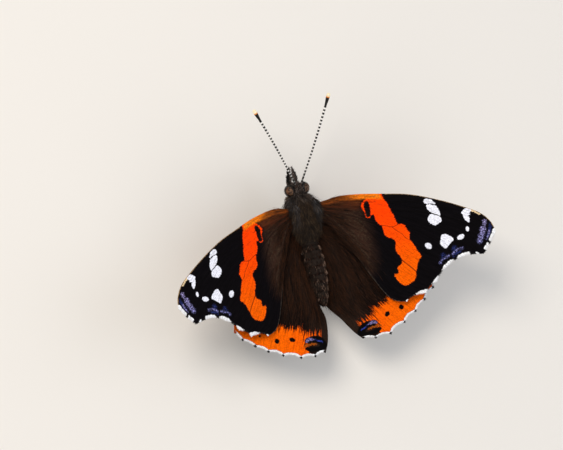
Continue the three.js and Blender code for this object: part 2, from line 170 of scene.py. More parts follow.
# A finished piece goes from the animal's millimetres to the frame, hangs from the root body and hides the
# parts it replaces.
def settle(piece, slot, *replaced):
    points = toFrame(getPoints(piece.data))
    points[:, 2] = np.maximum(points[:, 2], 0)  # hairs under the feet bend along the floor
    setPoints(piece.data, points)
    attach(piece, "root")
    if replaced:
        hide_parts(*replaced)
    print("made", piece.name, len(piece.data.polygons))
    return piece


# Materials


def colour(code):
    parts = [int(code[i:i + 2], 16) / 255 for i in (1, 3, 5)]
    return tuple(p / 12.92 if p <= 0.04045 else ((p + 0.055) / 1.055) ** 2.4 for p in parts) + (1,)


# A new material, with a function that adds a node and gives one of its outputs, and one that
# closes the material with its shader.
def newMaterial(name):
    material = bpy.data.materials.new(name)
    material.use_nodes = True
    tree = material.node_tree
    tree.nodes.clear()

    def addNode(kind, inputs, out=0, **settings):
        made = tree.nodes.new("ShaderNode" + kind)
        for key, value in settings.items():
            setattr(made, key, value)
        for key, value in inputs.items():
            if isinstance(value, bpy.types.NodeSocket):
                tree.links.new(value, made.inputs[key])
            else:
                made.inputs[key].default_value = value
        return made.outputs[out] if made.outputs else None

    def close(inputs):
        addNode("OutputMaterial", {"Surface": addNode("BsdfPrincipled", inputs)})
        return material

    return addNode, close


# Wing scales: flat chitin scales in rows like roof tiles, 0.1 mm wide and 0.2 mm long. They give a
# matt, velvety sheet whose markings end in a toothed edge, one scale at a time.
scaleRows = {"wide": 0.11, "long": 0.19, "tooth": 0.11, "drift": 0.16, "driftSize": 1.1}


def scaleMaterial(name, ground, layers, **finish):
    addNode, close = newMaterial(name)
    plan = addNode("Attribute", {}, "Vector", attribute_name="plan")
    flow = addNode("Attribute", {}, "Vector", attribute_name="flow")
    turned = addNode("Mapping", {
        "Vector": plan, "Rotation": (0, 0, math.radians(finish["rowTurn"])),
        "Scale": (1 / scaleRows["long"], 1 / scaleRows["wide"], 1),
    })
    scale = addNode("TexVoronoi", {"Vector": turned, "Scale": 1, "Randomness": 0.7}).node.outputs
    drift = addNode("TexNoise", {"Vector": plan, "Scale": 1 / scaleRows["driftSize"], "Detail": 3})
    streak = addNode("TexNoise", {"Vector": flow, "Scale": 1, "Detail": 4, "Roughness": 0.65})
    single = addNode("SeparateColor", {0: scale["Color"]})
    teeth, waves = (
        addNode("Math", {0: value, 1: scaleRows[key], 2: -scaleRows[key] / 2}, operation="MULTIPLY_ADD")
        for value, key in ((single, "tooth"), (drift, "drift")))
    shift = addNode("Math", {0: teeth, 1: waves}, operation="ADD")
    paint = addNode("ValToRGB", {0: streak})
    for element, position, code in zip(paint.node.color_ramp.elements, (0.32, 0.68), ground):
        element.position, element.color = position, colour(code)
    for layer in layers:
        field = addNode("Attribute", {}, "Fac", attribute_name=layer["field"])
        edge = addNode("Math", {0: shift, 1: layer["ragged"], 2: field}, operation="MULTIPLY_ADD")
        if "hairy" in layer:
            hairs = addNode("Math", {0: streak, 1: 2 * layer["hairy"], 2: -layer["hairy"]},
                            operation="MULTIPLY_ADD")
            if "hairyBy" in layer:
                where = addNode("Attribute", {}, "Fac", attribute_name=layer["hairyBy"])
                hairs = addNode("Math", {0: hairs, 1: where}, operation="MULTIPLY")
            edge = addNode("Math", {0: edge, 1: hairs}, operation="ADD")
        mask = addNode("MapRange", {
            "Value": edge, "From Min": -layer["soft"], "From Max": layer["soft"],
            "To Max": layer["strength"],
        }, interpolation_type="SMOOTHSTEP")
        if "share" in layer:
            among = addNode("Math", {0: single, 1: layer["share"]}, operation="LESS_THAN")
            mask = addNode("Math", {0: mask, 1: among}, operation="MULTIPLY")
        if "mosaic" in layer:
            lines = addNode("TexVoronoi", {"Vector": plan, "Scale": 1 / layer["mosaic"]}, "Distance",
                            feature="DISTANCE_TO_EDGE", voronoi_dimensions="2D")
            cells = addNode("MapRange", {"Value": lines, "From Min": 0.03, "From Max": 0.2})
            mask = addNode("Math", {0: mask, 1: cells}, operation="MULTIPLY")
        tint = colour(layer["colours"][0])
        if "grade" in layer:
            grade = addNode("Attribute", {}, "Fac", attribute_name=layer["grade"])
            second = colour(layer["colours"][1])
            tint = addNode("Mix", {0: grade, 6: tint, 7: second}, 2, data_type="RGBA")
        paint = addNode("Mix", {0: mask, 6: paint, 7: tint}, 2, data_type="RGBA")
    for value, part, low, high in ((single, "speckle", 0, 1), (streak, "grain", 0.3, 0.7)):
        shade = addNode("MapRange", {
            "Value": value, "From Min": low, "From Max": high,
            "To Min": 1 - finish[part], "To Max": 1 + finish[part],
        })
        paint = addNode("Mix", {0: 1, 6: paint, 7: shade}, 2, data_type="RGBA", blend_type="MULTIPLY")
    relief = addNode("Math", {0: scale["Distance"], 1: -0.5, 2: streak}, operation="MULTIPLY_ADD")
    return close({
        "Base Color": paint, "Roughness": finish["roughness"], "IOR": 1.56,
        "Normal": addNode("Bump", {"Height": relief, "Strength": 0.55, "Distance": 0.05 * mm}),
        "Specular IOR Level": finish["specular"], "Sheen Weight": finish["sheen"],
        "Sheen Roughness": 0.45, "Sheen Tint": colour(finish["sheenColour"]),
    })


# One colour of a wing, or two that a field grades between, where the named field is above zero.
# soft is half the width of its edge in millimetres.
def mark(field, soft, *colours, **rest):
    return {"field": field, "soft": soft, "colours": colours, "ragged": 1, "strength": 1, **rest}


# Hair and hair scales: chitin bristles, each in the one colour given to it. growTufts paints each one
# darker towards the root as painted shade deep in the coat, so the coat looks soft and deep with single
# bright tips.
def hairMaterial(name, roughness, specular):
    addNode, close = newMaterial(name)
    tone = addNode("Attribute", {}, "Vector", attribute_name="tone")
    place = addNode("TexCoord", {}, "Object")
    grain = addNode("TexNoise", {"Vector": place, "Scale": 1 / (0.25 * mm), "Detail": 2})
    shade = addNode("MapRange", {"Value": grain, "To Min": 0.7, "To Max": 1.3})
    paint = addNode("Mix", {0: 1, 6: tone, 7: shade}, 2, data_type="RGBA", blend_type="MULTIPLY")
    return close({
        "Base Color": paint, "Roughness": roughness, "IOR": 1.55, "Specular IOR Level": specular,
        "Sheen Weight": specular / 4, "Sheen Roughness": 0.5,
    })


# Bare insect cuticle: hard, slightly glossy chitin with fine pitting.
def cuticleMaterial(name, dark, light, pitMm, roughness):
    addNode, close = newMaterial(name)
    place = addNode("TexCoord", {}, "Object")
    cloud = addNode("TexNoise", {"Vector": place, "Scale": 1 / (6 * pitMm * mm), "Detail": 4})
    pits = addNode("TexVoronoi", {"Vector": place, "Scale": 1 / (pitMm * mm)}, "Distance")
    paint = addNode("Mix", {0: cloud, 6: colour(dark), 7: colour(light)}, 2, data_type="RGBA")
    bump = addNode("Bump", {"Height": pits, "Strength": 0.4, "Distance": 0.02 * mm})
    return close({"Base Color": paint, "Normal": bump, "Roughness": roughness, "IOR": 1.56})


# Tufts. One thin closed spike made once, then joined as many bent copies.


def spikeShape():
    bm = bmesh.new()
    bmesh.ops.create_cone(bm, cap_ends=True, segments=3, radius1=1, radius2=0, depth=1)
    bmesh.ops.translate(bm, verts=bm.verts, vec=(0, 0, 0.5))
    for height in (0.34, 0.7):
        bmesh.ops.bisect_plane(bm, geom=bm.verts[:] + bm.edges[:] + bm.faces[:],
                               plane_co=(0, 0, height), plane_no=(0, 0, 1))
    bmesh.ops.triangulate(bm, faces=bm.faces)
    bm.verts.ensure_lookup_table()
    points = np.array([v.co for v in bm.verts])
    faces = np.array([[v.index for v in face.verts] for face in bm.faces])
    bm.free()
    along = points[:, 2]
    across = points[:, :2] / np.maximum(1 - along, 1e-6)[:, None]
    across[along > 0.999] = 0
    return along, across, faces


spikeAlong, spikeAcross, spikeFaces = spikeShape()
patchSize = {"wide": 0.0015, "long": 0.0028}  # of the bake image, for each tuft


def unit(vectors):
    return vectors / np.maximum(np.linalg.norm(vectors, axis=-1, keepdims=True), 1e-9)


# roots and normals in millimetres, lie the direction each tuft leans to, hue linear colours.
# tuft: length range, width, thickness, lift in degrees, droop back to the skin, spread in degrees.
def growTufts(name, roots, normals, lie, hue, patches, tuft, material, slot, *replaced):
    count = len(roots)
    normals = unit(normals)
    lie = unit(lie - normals * np.sum(lie * normals, 1, keepdims=True))
    beside = np.cross(normals, lie)
    veer = np.radians(chance.normal(0, tuft["spread"], (count, 1)))
    lie = unit(lie * np.cos(veer) + beside * np.sin(veer))
    beside = np.cross(normals, lie)
    lift = np.radians(np.clip(chance.normal(tuft["lift"], tuft["lift"] * 0.35, (count, 1)), 1, 85))
    ahead = lie * np.cos(lift) + normals * np.sin(lift)
    up = normals * np.cos(lift) - lie * np.sin(lift)
    low, high = tuft["length"]
    length = chance.uniform(low, high, (count, 1)) * tuft.get("scale", np.ones(count))[:, None]
    width = tuft["width"] * chance.uniform(0.7, 1.25, (count, 1))
    curl = chance.normal(0, tuft.get("curl", 0.06), (count, 1))
    t = spikeAlong[None, :, None]
    body = (1 - spikeAlong ** 2.2)[None, :, None]
    points = roots[:, None] - normals[:, None] * tuft.get("sink", 0.06)
    points = points + ahead[:, None] * (length[:, None] * t)
    half = width[:, None] * 0.5
    points = points + beside[:, None] * (half * spikeAcross[None, :, :1] * body)
    points = points + up[:, None] * (half * tuft["flat"] * spikeAcross[None, :, 1:] * body)
    points = points - up[:, None] * (length[:, None] * tuft["droop"] * t**2)
    points = points + beside[:, None] * ((length * curl)[:, None] * t**2)
    # Darker towards the root: painted shade inside the coat (rootShade is the share of colour left at the
    # root).
    shade = tuft.get("rootShade", 0.45)
    hue = hue[:, None] * (shade + (1 - shade) * np.sqrt(t))
    faces = spikeFaces[None] + (np.arange(count) * len(spikeAlong))[:, None, None]
    corner = patchSize["wide"] * spikeAcross[None] * 0.5
    corner = corner + np.stack([0 * spikeAlong, patchSize["long"] * spikeAlong], 1)[None]
    places = patches[:, None] + corner
    piece = joinedMesh(name, points.reshape(-1, 3), faces.reshape(-1, 3), hue.reshape(-1, 3),
                       places.reshape(-1, 2), material)
    settle(piece, slot, *replaced)


def joinedMesh(name, points, faces, hue, places, material):
    mesh = bpy.data.meshes.new(name)
    mesh.vertices.add(len(points))
    mesh.vertices.foreach_set("co", points.astype(np.float32).ravel())
    mesh.loops.add(faces.size)
    mesh.loops.foreach_set("vertex_index", faces.astype(np.int32).ravel())
    mesh.polygons.add(len(faces))
    mesh.polygons.foreach_set("loop_start", np.arange(len(faces), dtype=np.int32) * 3)
    mesh.update(calc_edges=True)
    store(mesh, "tone", hue)
    layer = mesh.uv_layers.new(name="OFBake")
    layer.uv.foreach_set("vector", places[faces.ravel()].astype(np.float32).ravel())
    return addObject(name, mesh, [material])


# Roots spread over a mesh's faces, more where density is high. Gives places and normals.
def scatter(mesh, count, density):
    mesh.calc_loop_triangles()
    corners = np.empty(len(mesh.loop_triangles) * 3, np.int32)
    mesh.loop_triangles.foreach_get("vertices", corners)
    corners = corners.reshape(-1, 3)
    points = getPoints(mesh)
    normals = np.empty(len(mesh.vertices) * 3)
    mesh.vertices.foreach_get("normal", normals)
    normals = normals.reshape(-1, 3)
    a, b, c = (points[corners[:, k]] for k in range(3))
    weight = np.linalg.norm(np.cross(b - a, c - a), axis=1) * density((a + b + c) / 3)
    chosen = chance.choice(len(corners), count, p=weight / weight.sum())
    share = chance.dirichlet((1, 1, 1), count)
    root = np.einsum("nk,nkd->nd", share, points[corners[chosen]])
    return root, unit(np.einsum("nk,nkd->nd", share, normals[corners[chosen]]))


# A round rod through the points, extruded ring by ring.
def bentRod(name, path, radii, count, material):
    bm = bmesh.new()
    bmesh.ops.create_circle(bm, cap_ends=True, segments=count, radius=1)
    face = bm.faces[:][0]
    disc = [v.co.copy() for v in face.verts]
    path = [Vector(p) for p in path]
    across = Vector((0.3, 0.2, 1))
    for i, (point, radius) in enumerate(zip(path, radii)):
        along = (path[min(i + 1, len(path) - 1)] - path[max(i - 1, 0)]).normalized()
        across = (across - along * across.dot(along)).normalized()
        beside = along.cross(across)
        if i:
            made = bmesh.ops.extrude_face_region(bm, geom=[face])["geom"]
            face = next(g for g in made if isinstance(g, bmesh.types.BMFace))
        for vert, spot in zip(face.verts, disc):
            vert.co = point + (across * spot.x + beside * spot.y) * radius
    bmesh.ops.recalc_face_normals(bm, faces=bm.faces)
    # Extruding leaves the faces in another order each run, so they are put in a fixed one.
    slant = Vector((0.43, 1, 0.27))
    bm.faces.sort(key=lambda side: side.calc_center_median().dot(slant))
    return addObject(name, toMesh(bm, name), [material])


# A path of few points made smooth, with radii to match.
def smoothPath(points, radii, steps):
    joined = np.concatenate([np.array(points, float), np.array(radii, float)[:, None]], 1)
    fine = smoothCurve(joined, steps)
    return fine[:, :3], fine[:, 3]


def mirrored(points, side):
    return np.array(points, float) * (side, 1, 1)


# Forewings

foreWing = {
    "hinge": (2.6, 1.2),  # outward and up
    "rise": 20.3,  # degrees of the V on each side
    "costa": [(-.6, .3), (1.6, .12), (3.8, -.02), (7, .4), (10.9, 1.25), (15.5, 2.45), (20, 4.45),
        (23.9, 6.6), (26.4, 8.3), (27.75, 10.1), (28.2, 11.9)],
    "teeth": [(28.2, 11.9), (25.4, 15.15), (22, 14.8), (19.2, 15.75), (16.7, 17.9), (14.5, 19.4),
        (10.9, 19.95)],
    "bays": [-.2, .35, .3, .35, .35, .45],
    "inner": [(10.9, 19.95), (9.1, 19.35), (7.6, 17.7), (5.6, 13.4), (4.6, 10.9), (2.9, 7.4), (1.2, 4.4),
        (-.6, 2.6)],
    "veins": [[(.4, .65), (7, 1.35), (13, 2.3)], [(.4, 1.1), (5, 2.1), (9, 3.2), (12.6, 4.5), (19, 6.7),
        (27.6, 11.6)], [(11, 3), (13.4, 3.3), (16.8, 4)], [(15.6, 4.75), (18.5, 5.25), (21.4, 6.2)],
        [(22.2, 7.5), (24.3, 8.4), (26.6, 9.9)], [(12.6, 4.5), (11.4, 5.7), (10.2, 7)], [(12.4, 5.2),
        (17, 8), (24.9, 14.6)], [(11.7, 6.2), (16, 9.2), (21.7, 14.2)], [(10.6, 7.6), (14, 10.4),
        (18.9, 15.2)], [(.4, 1.5), (3.5, 2.8), (7, 4.8), (10.2, 7)], [(8.5, 6.3), (11.6, 10.4),
        (16.4, 17.3)], [(6.1, 4.7), (9.2, 9.8), (14.1, 18.8)], [(.5, 1.9), (3.6, 6.3), (10.4, 19.3)]],
    "cells": (236, 150), "camber": 0.3, "streaks": 90,
    "ahead": {1: 0.36, -1: 0},  # how much further forward the front edge bows on each side
}
membrane = {"thick": 0.09, "vein": 0.3, "veinHalf": 0.16, "sag": 0.07, "sagFrom": 1.3, "short": 0.26}


def outerEdge(wing):
    root = np.array(wing["inner"][-1], float)
    t = np.linspace(0, 1, 24)[:, None]
    arcs = []
    for start, end, depth in zip(wing["teeth"], wing["teeth"][1:], wing["bays"]):
        start, end = np.array(start, float), np.array(end, float)
        middle = (start + end) / 2
        middle = middle + unit(root - middle) * 2 * depth
        arcs.append((1 - t)**2 * start + 2 * t * (1 - t) * middle + t**2 * end)
    return np.concatenate([arcs[0]] + [arc[1:] for arc in arcs[1:]])


# The membrane ends short of the margin, and the fringe of scales fills the rest.
def membraneEdge(wing, count):
    edge = evenly(outerEdge(wing), count)
    t = np.linspace(0, 1, count)
    short = membrane["short"] * np.clip(np.minimum(t, 1 - t) * 25, 0, 1)
    return edge + unit(np.array(wing["inner"][-1]) - edge) * short[:, None]


# The flat sheet between its four edges, as rows from the root to the margin.
def flatSheet(wing):
    along, across = wing["cells"]
    top = evenly(smoothCurve(wing["costa"]), along + 1)[:, None]
    bottom = evenly(smoothCurve(wing["inner"])[::-1], along + 1)[:, None]
    outer = membraneEdge(wing, across + 1)[None]
    root = evenly(np.array([wing["costa"][0], wing["inner"][-1]], float), across + 1)[None]
    u = np.linspace(0, 1, along + 1)[:, None, None]
    v = np.linspace(0, 1, across + 1)[None, :, None]
    near, far = ((1 - v) * top[end, 0] + v * bottom[end, 0] for end in (0, -1))
    corners = (1 - u) * near + u * far
    return (1 - v) * top + v * bottom + (1 - u) * root + u * outer - corners


# The wing's mesh: a grid laid over the sheet, thicker along the veins, with every mark stored as
# its distance in millimetres.
def wingSheet(name, wing, side, surface, fields, materials):
    along, across = wing["cells"]
    sheet = flatSheet(wing)
    bm = bmesh.new()
    bmesh.ops.create_grid(bm, x_segments=along, y_segments=across, size=0.5)
    if side < 0:
        bmesh.ops.reverse_faces(bm, faces=bm.faces)
    mesh = toMesh(bm, name)
    grid = getPoints(mesh)
    rows = np.rint((grid[:, 0] + 0.5) * along).astype(int)
    columns = np.rint((grid[:, 1] + 0.5) * across).astype(int)
    plan = sheet[rows, columns]
    veins = np.min([pathDistance(plan, smoothCurve(vein, 6)) for vein in wing["veins"]], axis=0)
    relief = -membrane["sag"] * ease(veins, 0, membrane["sagFrom"])
    share = np.stack([rows / along, columns / across], 1)
    setPoints(mesh, surface(plan, share, relief, side))
    store(mesh, "plan", np.concatenate([plan, np.zeros((len(plan), 1))], 1))
    store(mesh, "flow", np.stack([share[:, 0] * 9, share[:, 1] * wing["streaks"], 0 * veins], 1))
    store(mesh, "vein", membrane["veinHalf"] * 0.7 - veins)
    for field, values in fields(plan).items():
        store(mesh, field, values)
    piece = addObject(name, mesh, materials)
    group = piece.vertex_groups.new(name="thickness")
    ridge = np.exp(-(veins / membrane["veinHalf"]) ** 2) * np.clip(1.3 - share[:, 0], 0.35, 1)
    thickness = (membrane["thick"] + (membrane["vein"] - membrane["thick"]) * ridge) / membrane["vein"]
    for i, value in enumerate(thickness):
        group.add([i], float(value), "REPLACE")
    shell = piece.modifiers.new("shell", "SOLIDIFY")
    shell.thickness = membrane["vein"]
    shell.offset = 0
    shell.vertex_group = "thickness"
    shell.material_offset = 1
    applied(piece)
    return piece


def foreSurface(plan, share, relief, side):
    rise = math.radians(foreWing["rise"])
    lift = foreWing["camber"] * np.sin(math.pi * share[:, 1]) * np.sin(math.pi * np.sqrt(share[:, 0]))
    lift = relief + lift
    bow = foreWing["ahead"][side] * ease(plan[:, 0], -0.6, 2.4) * (1 - ease(plan[:, 0], 8, 15))
    out, up = foreWing["hinge"]
    return np.stack([
        side * (out + plan[:, 0] * math.cos(rise) - lift * math.sin(rise)),
        plan[:, 1] - bow * (1 - share[:, 1]),
        up + plan[:, 0] * math.sin(rise) + lift * math.cos(rise),
    ], 1)


foreMarks = {
    "band": [(10.8, .7), (10.85, 1.3), (11.1, 2.3), (11.45, 3), (11.55, 3.7), (11.9, 4.8), (12.15, 5.9),
        (12.35, 6.85), (13.25, 7.15), (13.6, 7.65), (13.75, 8.3), (14, 8.75), (13.85, 9.3), (13.8, 9.95),
        (14.4, 11.35), (14.5, 11.9), (14.9, 12.6), (15, 13.1), (14.7, 13.35), (14.2, 14), (13.9, 14.8),
        (13.5, 15.5), (13.35, 16.2), (12.7, 16.85), (11.6, 17.2), (11, 17.05), (10.4, 16.4), (10, 15.6),
        (9.9, 15.05), (10.7, 14.85), (10.7, 14.05), (11.4, 13.5), (11.75, 12.95), (11.5, 12.1),
        (11.1, 11.2), (11.15, 10.35), (11.35, 9.75), (11.1, 9.15), (10.45, 8.7), (9.9, 8.15), (9.75, 7.2),
        (9.75, 6.6), (9.45, 6.25), (9, 5.6), (8.9, 5), (8.9, 4.45), (8.65, 4.25), (8.3, 4.2), (8.45, 3.6),
        (8.4, 2.95), (8.5, 2.2), (8.15, 1.7), (8.4, .7)],
    "tongue": [([(8.4, 1.6), (7.6, 1.95), (7.3, 2.5), (7.3, 3)], .16), ([(7.3, 3), (7.45, 3.5),
        (7.42, 4)], .1), ([(7.42, 4), (7.55, 4.5), (7.9, 4.62), (8.3, 4.42), (8.8, 4.2)], .05)],
    "bandLines": [([(9.6, 6.4), (10.4, 6.7), (11.35, 7.1), (12.35, 6.95)], .06), ([(11.35, 7.1),
        (11.9, 7.85), (12.65, 8.65), (13.2, 9.45), (13.8, 10)], .06), ([(11.6, 12.85), (12.6, 14.05),
        (13.6, 15.4)], .09)],
    "white": [[(17.9, 3.8), (18.8, 4.1), (19, 4.45), (19.4, 4.9), (19.2, 5), (18.5, 4.75), (17.8, 4.6),
        (17.45, 4.25)], [(17.9, 4.85), (18.65, 5.02), (19.3, 5.35), (19.65, 6), (19.72, 6.6),
        (19.65, 7.1), (19.1, 6.75), (18.5, 6.42), (18.1, 6.05), (17.8, 5.4)], [(18.4, 6.58),
        (19.05, 6.95), (19.6, 7.3), (19.68, 8.05), (19.1, 8.35), (18.5, 8.52), (17.95, 8.2), (17.55, 7.7),
        (17.55, 7.1), (17.95, 6.65)], [(19.45, 10.3), (19.9, 10.4), (20.3, 10.75), (20.75, 11.1),
        (20.9, 11.65), (20.2, 12.1), (19.8, 12.4), (19.35, 12.72), (18.95, 12.4), (18.6, 11.8),
        (18.7, 11.35), (18.9, 11), (19, 10.55)], [(16, 11.4), (16.4, 11.1), (16.9, 11.3), (17.1, 11.9),
        (16.75, 12.2), (16.25, 12)], [(21.6, 11.4), (22.2, 11.05), (22.75, 11.1), (22.85, 11.5),
        (22.3, 11.85), (21.8, 11.8)], [(23.6, 10), (23.85, 10), (23.9, 10.4), (23.7, 10.75),
        (23.45, 10.7), (23.35, 10.3)], [(23.23, 7.43), (24.02, 6.95), (24.7, 7.1), (24.95, 7.5),
        (24.52, 7.86), (24.71, 8.09), (24.14, 8.19), (24.4, 8.62), (24.16, 9.35), (23.67, 8.87),
        (23.46, 8.22), (23.44, 7.79)]],
    "apexStreak": [([(24.9, 7.42), (25.5, 7.82), (26.2, 8.42)], .13)],
    "violet": [([(26.75, 9.75), (26.6, 10.25)], .26), ([(26.2, 10.95), (26, 11.55)], .42),
        ([(25.55, 12.2), (25.2, 12.75)], .46), ([(27.1, 11.5), (26.8, 12.2), (26.4, 12.7)], .1),
        ([(22.13, 13.31), (21.4, 13.34), (20.77, 13.65), (20.17, 13.9)], .1), ([(19.5, 14.05),
        (18.86, 14.3), (18.26, 14.55), (17.86, 14.95)], .1)],
    "blue": [([(27.5, 10.6), (27.15, 11.7), (26.7, 12.2)], .26), ([(20.9, 12.85), (20.5, 13.2)], .26),
        ([(18.6, 13.65), (18.3, 14.15)], .26), ([(21.6, 13.75), (20.4, 14.15)], .2)],
    # Reddish-brown streak at the forewing base: partly its own colour, partly the hair scales' sheen
    # painted in as colour.
    "reddish": [([(.3, 1.2), (3, 1.5), (6.2, 1.9)], .75)],
    "basal": [(-1, -1), (3.2, .6), (5.6, 1.7), (6.7, 3.2), (7, 5.2), (7.2, 7.5), (7.2, 10), (6.8, 12.6),
        (6, 13.4), (4.8, 12), (1, 6), (-1, 3)],
    "fringe": [([(28.02, 11.05), (28.02, 11.5), (27.88, 11.95)], .34), ([(27.42, 12.43), (27.05, 12.95)],
        .34), ([(26.27, 13.68), (25.88, 14.15)], .34), ([(24.2, 14.6), (24.5, 14.85)], .14),
        ([(22.75, 14.5), (22.2, 14.3), (21.65, 14.4), (21.25, 14.75)], .38), ([(19.9, 15.15),
        (19.3, 15.25), (18.65, 15.7), (18.3, 16.25)], .38), ([(17.05, 17.3), (16.45, 17.75), (16, 18.25)],
        .38), ([(14.85, 19.1), (13.75, 19), (12.6, 19.5)], .38), ([(11.6, 19.8), (11, 19.95)], .3)],
}


def strokeFields(plan, marks, *names):
    return {name: markField(plan, strokes=marks[name]) for name in names}


# Millimetres inside the white stretches of a wing's fringe.
def fringeField(plan, kind):
    if kind == "fore":
        return markField(plan, strokes=foreMarks["fringe"])
    teeth = np.array(hindWing["teeth"])
    return np.linalg.norm(plan[:, None] - teeth[None], axis=2).min(1) - 0.45


def foreFields(plan):
    marks = foreMarks
    costa = smoothCurve(foreWing["costa"], 6)
    costal = pathDistance(plan, costa)
    edge = pathDistance(plan, outerEdge(foreWing))
    inner = pathDistance(plan, smoothCurve(foreWing["inner"], 6))
    return {
        "band": markField(plan, [marks["band"]], marks["tongue"]),
        **strokeFields(plan, marks, "bandLines", "apexStreak", "violet", "blue", "reddish"),
        "bandGrade": ease(plan[:, 1], 4, 16),
        "white": markField(plan, marks["white"]),
        "basal": areaField(plan, smoothCurve(marks["basal"], 6, closed=True)),
        "costal": np.minimum(0.85 - costal, 10.3 + 0.2 * plan[:, 1] - plan[:, 0]),
        "costalGrade": ease(plan[:, 0], 2.5, 8.5),
        "edgeLine": np.minimum(0.07 - costal, plan[:, 0] - 11.5),
        "innerLine": np.minimum(0.07 - inner, plan[:, 0] - 4),
        "fringe": np.minimum(0.62 - edge, fringeField(plan, "fore")),
    }


foreUpper = scaleMaterial("wing_scales_black_upper", ("#040306", "#0b080b"), [
    mark("basal", 1.9, "#34221a", ragged=3, hairy=1),
    mark("basal", 1.3, "#4a3d2f", ragged=3, hairy=1, share=0.14),
    # The reddish base streak: its own colour with painted sheen.
    mark("reddish", 0.7, "#5f2e18", ragged=1.5, hairy=0.5, strength=0.75),
    mark("vein", 0.1, "#050404", strength=0.5),
    mark("band", 0.06, "#ff4200", "#f25f00", ragged=1.5, grade="bandGrade"),
    mark("bandLines", 0.05, "#4c1905", ragged=0.5, strength=0.85),
    mark("costal", 0.3, "#7a3d16", "#ef7c0f", ragged=1.2, hairy=0.35, grade="costalGrade"),
    mark("costal", 0.3, "#3a1d0c", "#b0693a", share=0.2, strength=0.5, grade="costalGrade"),
    mark("blue", 0.3, "#2f3b7c", ragged=4, share=0.6, strength=0.85),
    mark("violet", 0.18, "#cdbcf2", "#8589cc", ragged=2.6, mosaic=0.42, share=0.9, grade="bandGrade"),
    mark("apexStreak", 0.05, "#f2d7aa"),
    mark("white", 0.04, "#eaedfa", ragged=0.8),
    mark("edgeLine", 0.05, "#a98a63", strength=0.75),
    mark("innerLine", 0.05, "#857b70", strength=0.3),
    mark("fringe", 0.05, "#eef1f6", ragged=0.6),
], rowTurn=30, speckle=0.2, grain=0.25, roughness=0.72, specular=0.03, sheen=0.02, sheenColour="#a0623c")

foreUnder = scaleMaterial("wing_scales_mottled_under", ("#17110e", "#3a2d23"), [
    mark("basal", 2, "#2c2523", ragged=4),
    mark("vein", 0.12, "#54463a", strength=0.5),
    mark("band", 0.05, "#d63f2c", "#e86a35", grade="bandGrade"),
    mark("bandLines", 0.05, "#5c2a20", strength=0.8),
    mark("costal", 0.2, "#54402f", "#8a5a35", grade="costalGrade"),
    mark("blue", 0.4, "#3d4c86", ragged=4, share=0.6),
    mark("violet", 0.4, "#6f7fb0", ragged=4, share=0.6),
    mark("white", 0.07, "#efe9e0"),
    mark("fringe", 0.05, "#eef1f6"),
], rowTurn=30, speckle=0.28, grain=0.3, roughness=0.72, specular=0.08, sheen=0.05, sheenColour="#9a8f80")

wings = {}
for name, side in sides.items():
    wings["fore", name] = wingSheet(f"forewing_scales_{name}", foreWing, side, foreSurface, foreFields,
                                    [foreUpper, foreUnder])

# Hindwings

hindWing = {
    "hinge": (2.3, 4.5),  # outward and tailward
    "swing": {1: -1.7, -1: 1.7},  # degrees tailward on each side
    "curl": {1: 0, -1: 0.09}, "curlFrom": 20.5, "curlWidth": 8, "curlDown": 1.2, "curlIn": 0.7,
    "rise": 0.18, "riseFrom": 4, "spread": 0.05, "spreadFrom": 2.6,
    "lift": (9, 0.014), "fold": (3.4, 0.28), "raised": 0.22,
    "flank": (3.9, 0.36), "beside": (5.5, 9, 17, 20.5),  # stretch where it hugs the abdomen
    "costa": [(1.6, 2.1), (5, 3.1), (9.5, 6.3), (14, 10.8), (17.4, 14.6), (18.9, 17.6)],
    "teeth": [(18.9, 17.6), (17.9, 19.3), (15.9, 20.9), (13.8, 22.4), (11.4, 23.7), (8.4, 24.9),
        (5.8, 25.3), (3.8, 25)],
    "bays": [.15, .3, .3, .45, .5, .4, .3],
    "inner": [(3.8, 25), (2.6, 23.2), (1.5, 20.6), (.8, 18.6), (.5, 16.5), (.95, 14), (1.35, 11),
        (1.4, 8), (1.1, 6.4), (1.1, 5.4)],
    "veins": [[(3, 3.9), (8, 7.2), (13.4, 12.4), (18.3, 17.4)], [(6, 6.4), (11, 11.8), (17.4, 18.9)],
        [(9, 9.6), (12.4, 14.6), (15.5, 20.4)], [(8.6, 10.6), (11.2, 16), (13.5, 21.9)], [(7.4, 12),
        (9.4, 17.4), (11.1, 23.2)], [(9, 9.6), (8.6, 10.9), (7.4, 12)], [(3, 4.6), (4.8, 7.8), (7.4, 12)],
        [(6.7, 11), (8, 17.6), (8.3, 24.3)], [(5.2, 8.5), (6.1, 16), (5.8, 24.6)], [(2.9, 5.2), (3.8, 12),
        (4.1, 24.4)]],
    "cells": (200, 150), "streaks": 125,
}
